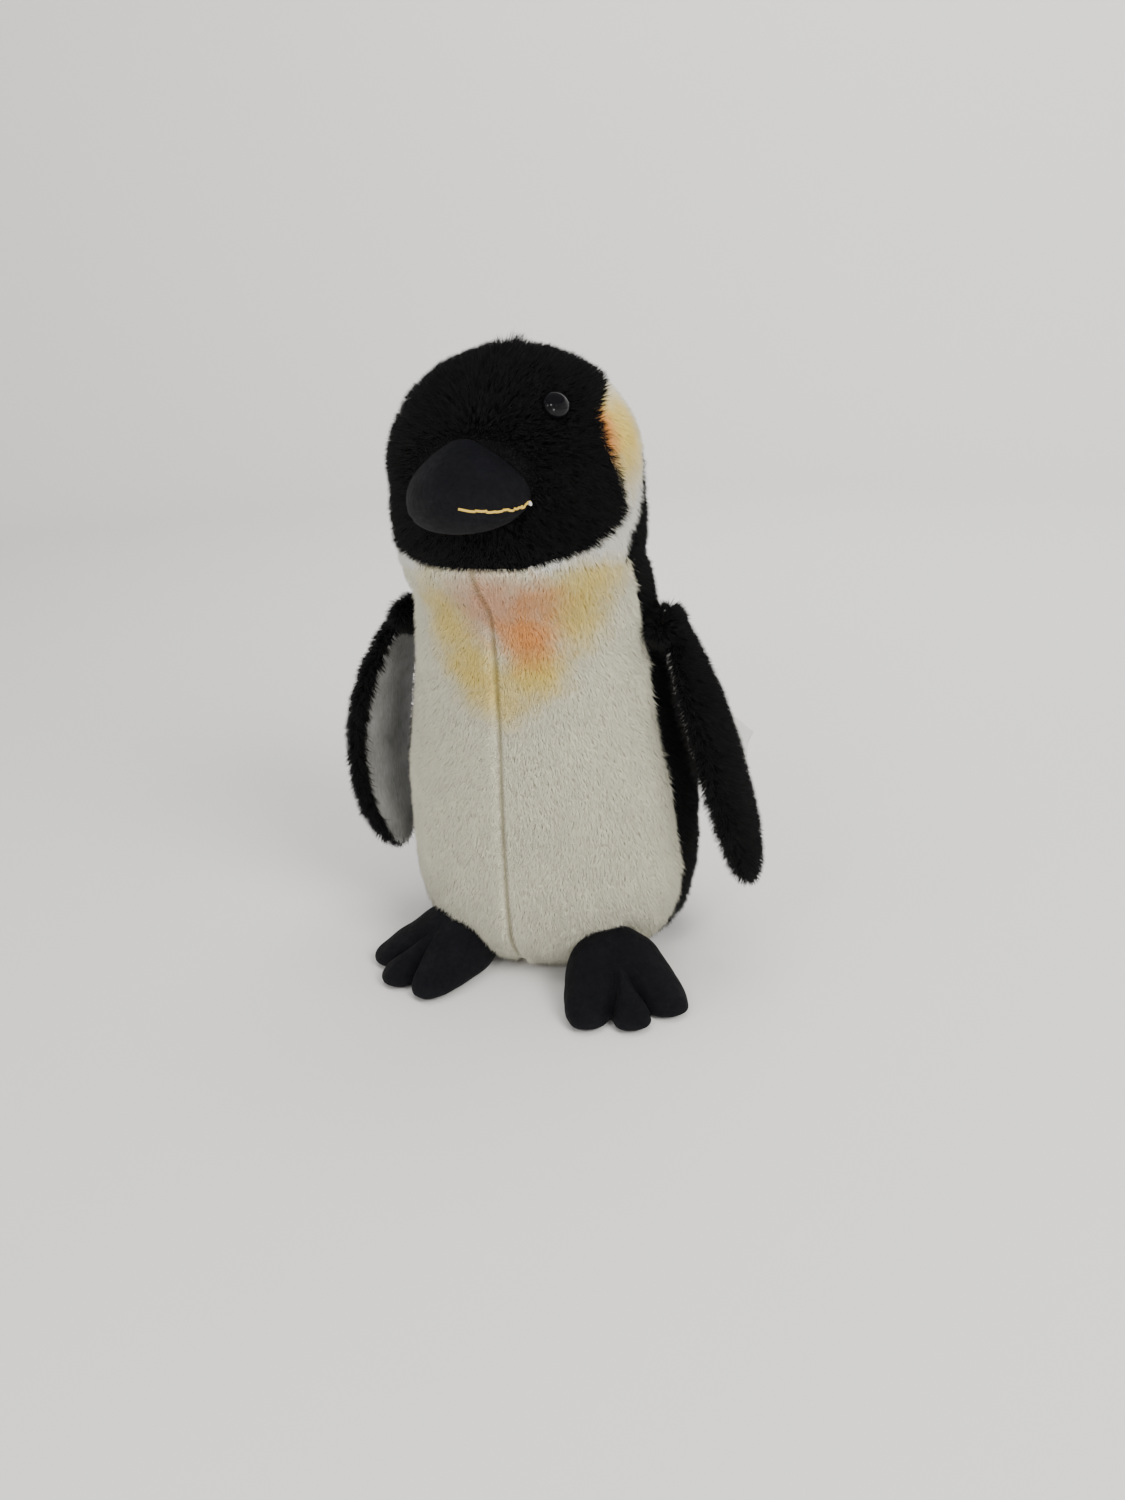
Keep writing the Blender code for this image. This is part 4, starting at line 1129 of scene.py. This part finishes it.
wingSize = {
    "length": 0.127,
    "chord": 0.050,
    "thick": 0.0145,
    "flare": math.radians(5),
    "splay": {"left": math.radians(17), "right": math.radians(7)},
    "bow": {"left": 0.002, "right": 0.015},
    "blunt": (1.7, 4.5),  # powers of the curves that round root and tip
    "inset": 0.0014,  # of the cloth under the pile
    "wrap": 0.50,  # radians that the black cloth folds round the front edge
}


def wingMiddle(name, along):
    side = sides[name]
    root = np.array(joints[f"wing_{name}_flap"]["pos_m"])
    splay = wingSize["splay"][name]
    out = wingSize["length"] * along * math.sin(splay) + wingSize["bow"][name] * 4 * along * (1 - along)
    fall = -wingSize["length"] * along * math.cos(splay)
    return root + np.stack([side * out, 0 * along, fall], -1)


def wingSurface(name, along, angle, inset):
    # a lens-shaped section carried down a bowed middle line, rounded off at root and tip
    side = sides[name]
    top = -(wingSize["thick"] / 2 - inset) / wingSize["length"]
    place = top + (1 - inset / wingSize["length"] - top) * along
    ahead = unit(wingMiddle(name, place + 0.02) - wingMiddle(name, place - 0.02))
    flare = wingSize["flare"]
    chord = np.broadcast_to(np.array([side * math.sin(flare), -math.cos(flare), 0]), ahead.shape)
    chord = unit(chord - ahead * np.einsum("...i,...i->...", chord, ahead)[..., None])
    outwards = np.cross(chord, ahead) * side
    blunt = np.where(along < 0.5, *wingSize["blunt"])
    rounding = np.sqrt(np.clip(1 - np.abs(2 * along - 1) ** blunt, 0, 1))
    broad = 0.74 + 0.26 * np.sin(math.pi * np.minimum(1, along * 0.95) ** 0.8)
    halfChord = (wingSize["chord"] / 2 * broad - inset) * rounding
    halfThick = (wingSize["thick"] / 2 - inset) * rounding
    return (
        wingMiddle(name, place)
        + chord * (halfChord * np.cos(angle))[..., None]
        + outwards * (halfThick * np.sin(angle))[..., None]
    )


def wingPatch(name, part):
    wrap = wingSize["wrap"]
    first, last = (-wrap, math.pi + 0.2) if part == "outer" else (math.pi + 0.2, 2 * math.pi - wrap)

    def patch(u, v, inset=0.0):
        along = (1 - np.cos(math.pi * (0.004 + 0.992 * v))) / 2
        return wingSurface(name, along, first + (last - first) * u, inset)

    return patch


wingParts = (("outer", "black", "black_pile"), ("inner", "grey", "pale_grey_pile"))


def makeWing(name):
    place = rideOn("wing_" + name)
    for part, kind, slot in wingParts:
        title = "wing" + part.capitalize() + name.capitalize()
        nodes = (f"wing_{part}_{name}",)
        dress(title, wingPatch(name, part), kind, 50, 26, place, nodes, inset=wingSize["inset"])
    print("wing covered:", name)


shoulderSize = {
    "long": 0.0170,
    "thick": 0.0080,
    "flare": 0.15,  # radians that its front end turns outwards
    "inwards": 0.0030,  # from the wing's pivot
    "below": 0.0010,
    "inset": 0.002,
}


def shoulderPatch(name):
    # a soft roll over the wing's pivot, where its cloth is sewn to the body
    side = sides[name]
    pivot = np.array(joints[f"wing_{name}_flap"]["pos_m"])
    middle = pivot - np.array([side * shoulderSize["inwards"], 0, shoulderSize["below"]])
    flare = shoulderSize["flare"]
    ahead = np.array([side * math.sin(flare), -math.cos(flare), 0])
    out = np.array([side * math.cos(flare), math.sin(flare), 0])

    def patch(u, v, inset=0.0):
        turn = 2 * math.pi * u
        tilt = math.pi * (0.02 + 0.96 * v)
        long = shoulderSize["long"] - inset * 0.5
        thick = shoulderSize["thick"] - inset
        return (
            middle
            + ahead * (long * np.cos(tilt))[..., None]
            + out * (thick * np.sin(tilt) * np.cos(turn))[..., None]
            + np.array([0, 0, 1.0]) * (thick * np.sin(tilt) * np.sin(turn))[..., None]
        )

    return patch


def makeShoulder(name):
    title, place = "shoulder" + name.capitalize(), rideOn("torso")
    patch = shoulderPatch(name)
    dress(title, patch, "black", 20, 24, place, inset=shoulderSize["inset"])


footSize = {
    "width": 0.066,
    "grooveWidth": 0.0020,
    "grooveDepth": 0.42,  # share of the height
    "offGround": 0.0004,
    "toeHeight": 0.0125,
    "heelHeight": 0.0310,
    "outline": (
        (0, 1.10), (8, 1.07), (14, 0.99), (20, 0.79), (26, 0.97), (34, 1.10), (43, 1.15), (54, 1.06),
        (70, 0.88), (95, 0.74), (125, 0.72), (155, 0.76), (180, 0.80),
    ),
    "heelBehind": {"left": 0.50, "right": 0.22},  # fold line to the outline's middle, in half widths
    "notch": 20,  # degrees between the middle toe and each groove
}


def footFrame(name):
    joint = joints[f"foot_{name}_fold"]
    across = np.array(joint["axis"])
    ahead = np.array([across[1], -across[0], 0])
    middle = np.array(joint["pos_m"]) + ahead * footSize["heelBehind"][name] * footSize["width"] / 2
    return middle * np.array([1, 1, 0]), ahead, across


def footRadius(angle):
    degrees = np.degrees(turnAway(angle))
    return smoothCurve(footSize["outline"], 1, degrees) * footSize["width"] / 2


def makeFoot(name):
    # A pillow over the outline that gets thicker from the toes to the heel, where the belly's pile
    # hides it. Two sewn grooves run back from the notches between the toes, deep at the notch.
    middle, ahead, across = footFrame(name)
    rows, columns = 46, 200
    angle = np.linspace(-math.pi, math.pi, columns, endpoint=False)[None, :]
    up = np.linspace(-0.5 * math.pi, 0.5 * math.pi, rows)[1:-1, None]
    angle, up = np.broadcast_arrays(angle, up)
    share = np.where(up < 0, np.cos(up) ** 0.35, np.cos(up) ** 0.62)
    reach = footRadius(angle) * share
    length, width = reach * np.cos(angle), reach * np.sin(angle)
    half = footSize["width"] / 2
    rise = easeStep(-length, -1.05 * half, 0.55 * half)
    thick = footSize["toeHeight"] + (footSize["heelHeight"] - footSize["toeHeight"]) * rise
    tall = np.where(up < 0, 0.26 * np.sin(up), 0.74 * np.sin(up)) * thick + 0.26 * thick
    groove = 0.0
    for side in (-1, 1):
        line = side * math.radians(footSize["notch"]) * (0.55 + 0.45 * easeStep(length, 0, half))
        away = np.abs(width - np.tan(line) * length)
        deep = easeStep(length, 0.05 * half, 0.75 * half)
        groove = groove + np.exp(-((away / footSize["grooveWidth"]) ** 2)) * deep
    deep = footSize["grooveDepth"] * np.clip(groove, 0, 1)
    tall = tall * (1 - deep * easeStep(up, 0.0, 0.6))
    flat = np.stack([length, width, 0 * length], -1)
    tall = tall + 0.0005 * waves(flat, 0.016, 5) * easeStep(up, 0.1, 0.8)
    points = middle + ahead * length[..., None] + across * width[..., None]
    points = points + np.array([0, 0, 1.0]) * (footSize["offGround"] + tall)[..., None]
    foot = turnedBody("foot" + name.capitalize(), points)
    foot.data.materials.append(looks["blackNap"])
    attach(foot, "foot_" + name)
    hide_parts("foot_upper_" + name, "foot_sole_" + name, "foot_stuffing_" + name)
    print("foot made:", name)


def makeLabel():
    # a folded satin tab that curls a little: level across, bent along its length
    points = readPoints(frame["nodes"]["care_label"])
    centre = points.mean(0)
    _, _, axes = np.linalg.svd(points - centre)
    spans = [np.ptp((points - centre) @ axes[k]) for k in range(3)]
    u, v = np.meshgrid(np.linspace(-0.5, 0.5, 17), np.linspace(-0.5, 0.5, 17))
    curl = 0.0012 * np.sin(u * 3.0) * np.cos(v * 2.0) + 0.0006 * np.sin(v * 9.0)
    grid = centre + axes[0] * (u * spans[0])[..., None] + axes[1] * (v * spans[1])[..., None]
    grid = grid + axes[2] * curl[..., None]
    label = gridObject("careLabel", grid)
    label.data.materials.append(looks["label"])
    closeWall(label, 0.0003)
    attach(label, "wing_left")
    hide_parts("care_label")


def labelMaterial():
    material, n, shader = plainMaterial("labelSatin", (0.62, 0.62, 0.60), 0.45)
    place = n.add("ShaderNodeTexCoord").outputs["Object"]
    weave = n.noise(place, 1500.0, 2.0, 0.6)
    n.put(shader, "Base Color", n.mix(weave, (0.52, 0.52, 0.50, 1), (0.70, 0.70, 0.68, 1)))
    return material


looks["label"] = labelMaterial()


def dressInside():
    # the pieces under the cloth keep their shape and get their own finish
    for node, ob in frame["nodes"].items():
        if "stuffing" in node:
            material = looks["filling"]
        elif "washer" in node:
            material = looks["washer"]
        elif node in ("pellet_bag", "base_panel"):
            material = looks["baseCloth"]
        else:
            continue
        ob.data.materials.clear()
        ob.data.materials.append(material)


addCamera(cameraPlace)
addStage()
for lamp in lampPlaces:
    addLamp(*lamp)
world = bpy.data.worlds.new("studio")
world.use_nodes = True
sky = world.node_tree.nodes["Background"]
sky.inputs["Color"].default_value = skyLight["colour"]
sky.inputs["Strength"].default_value = skyLight["strength"]
bpy.context.scene.world = world
print("camera, floor and light set")

makeBody()
makeHead()
makeBeak()
for name, side in sides.items():
    makeMouth(name, side)
    makeEye(name, side)
    makeWing(name)
    makeShoulder(name)
    makeFoot(name)
makeLabel()
dressInside()
print("hairs:", pileCount["hairs"])
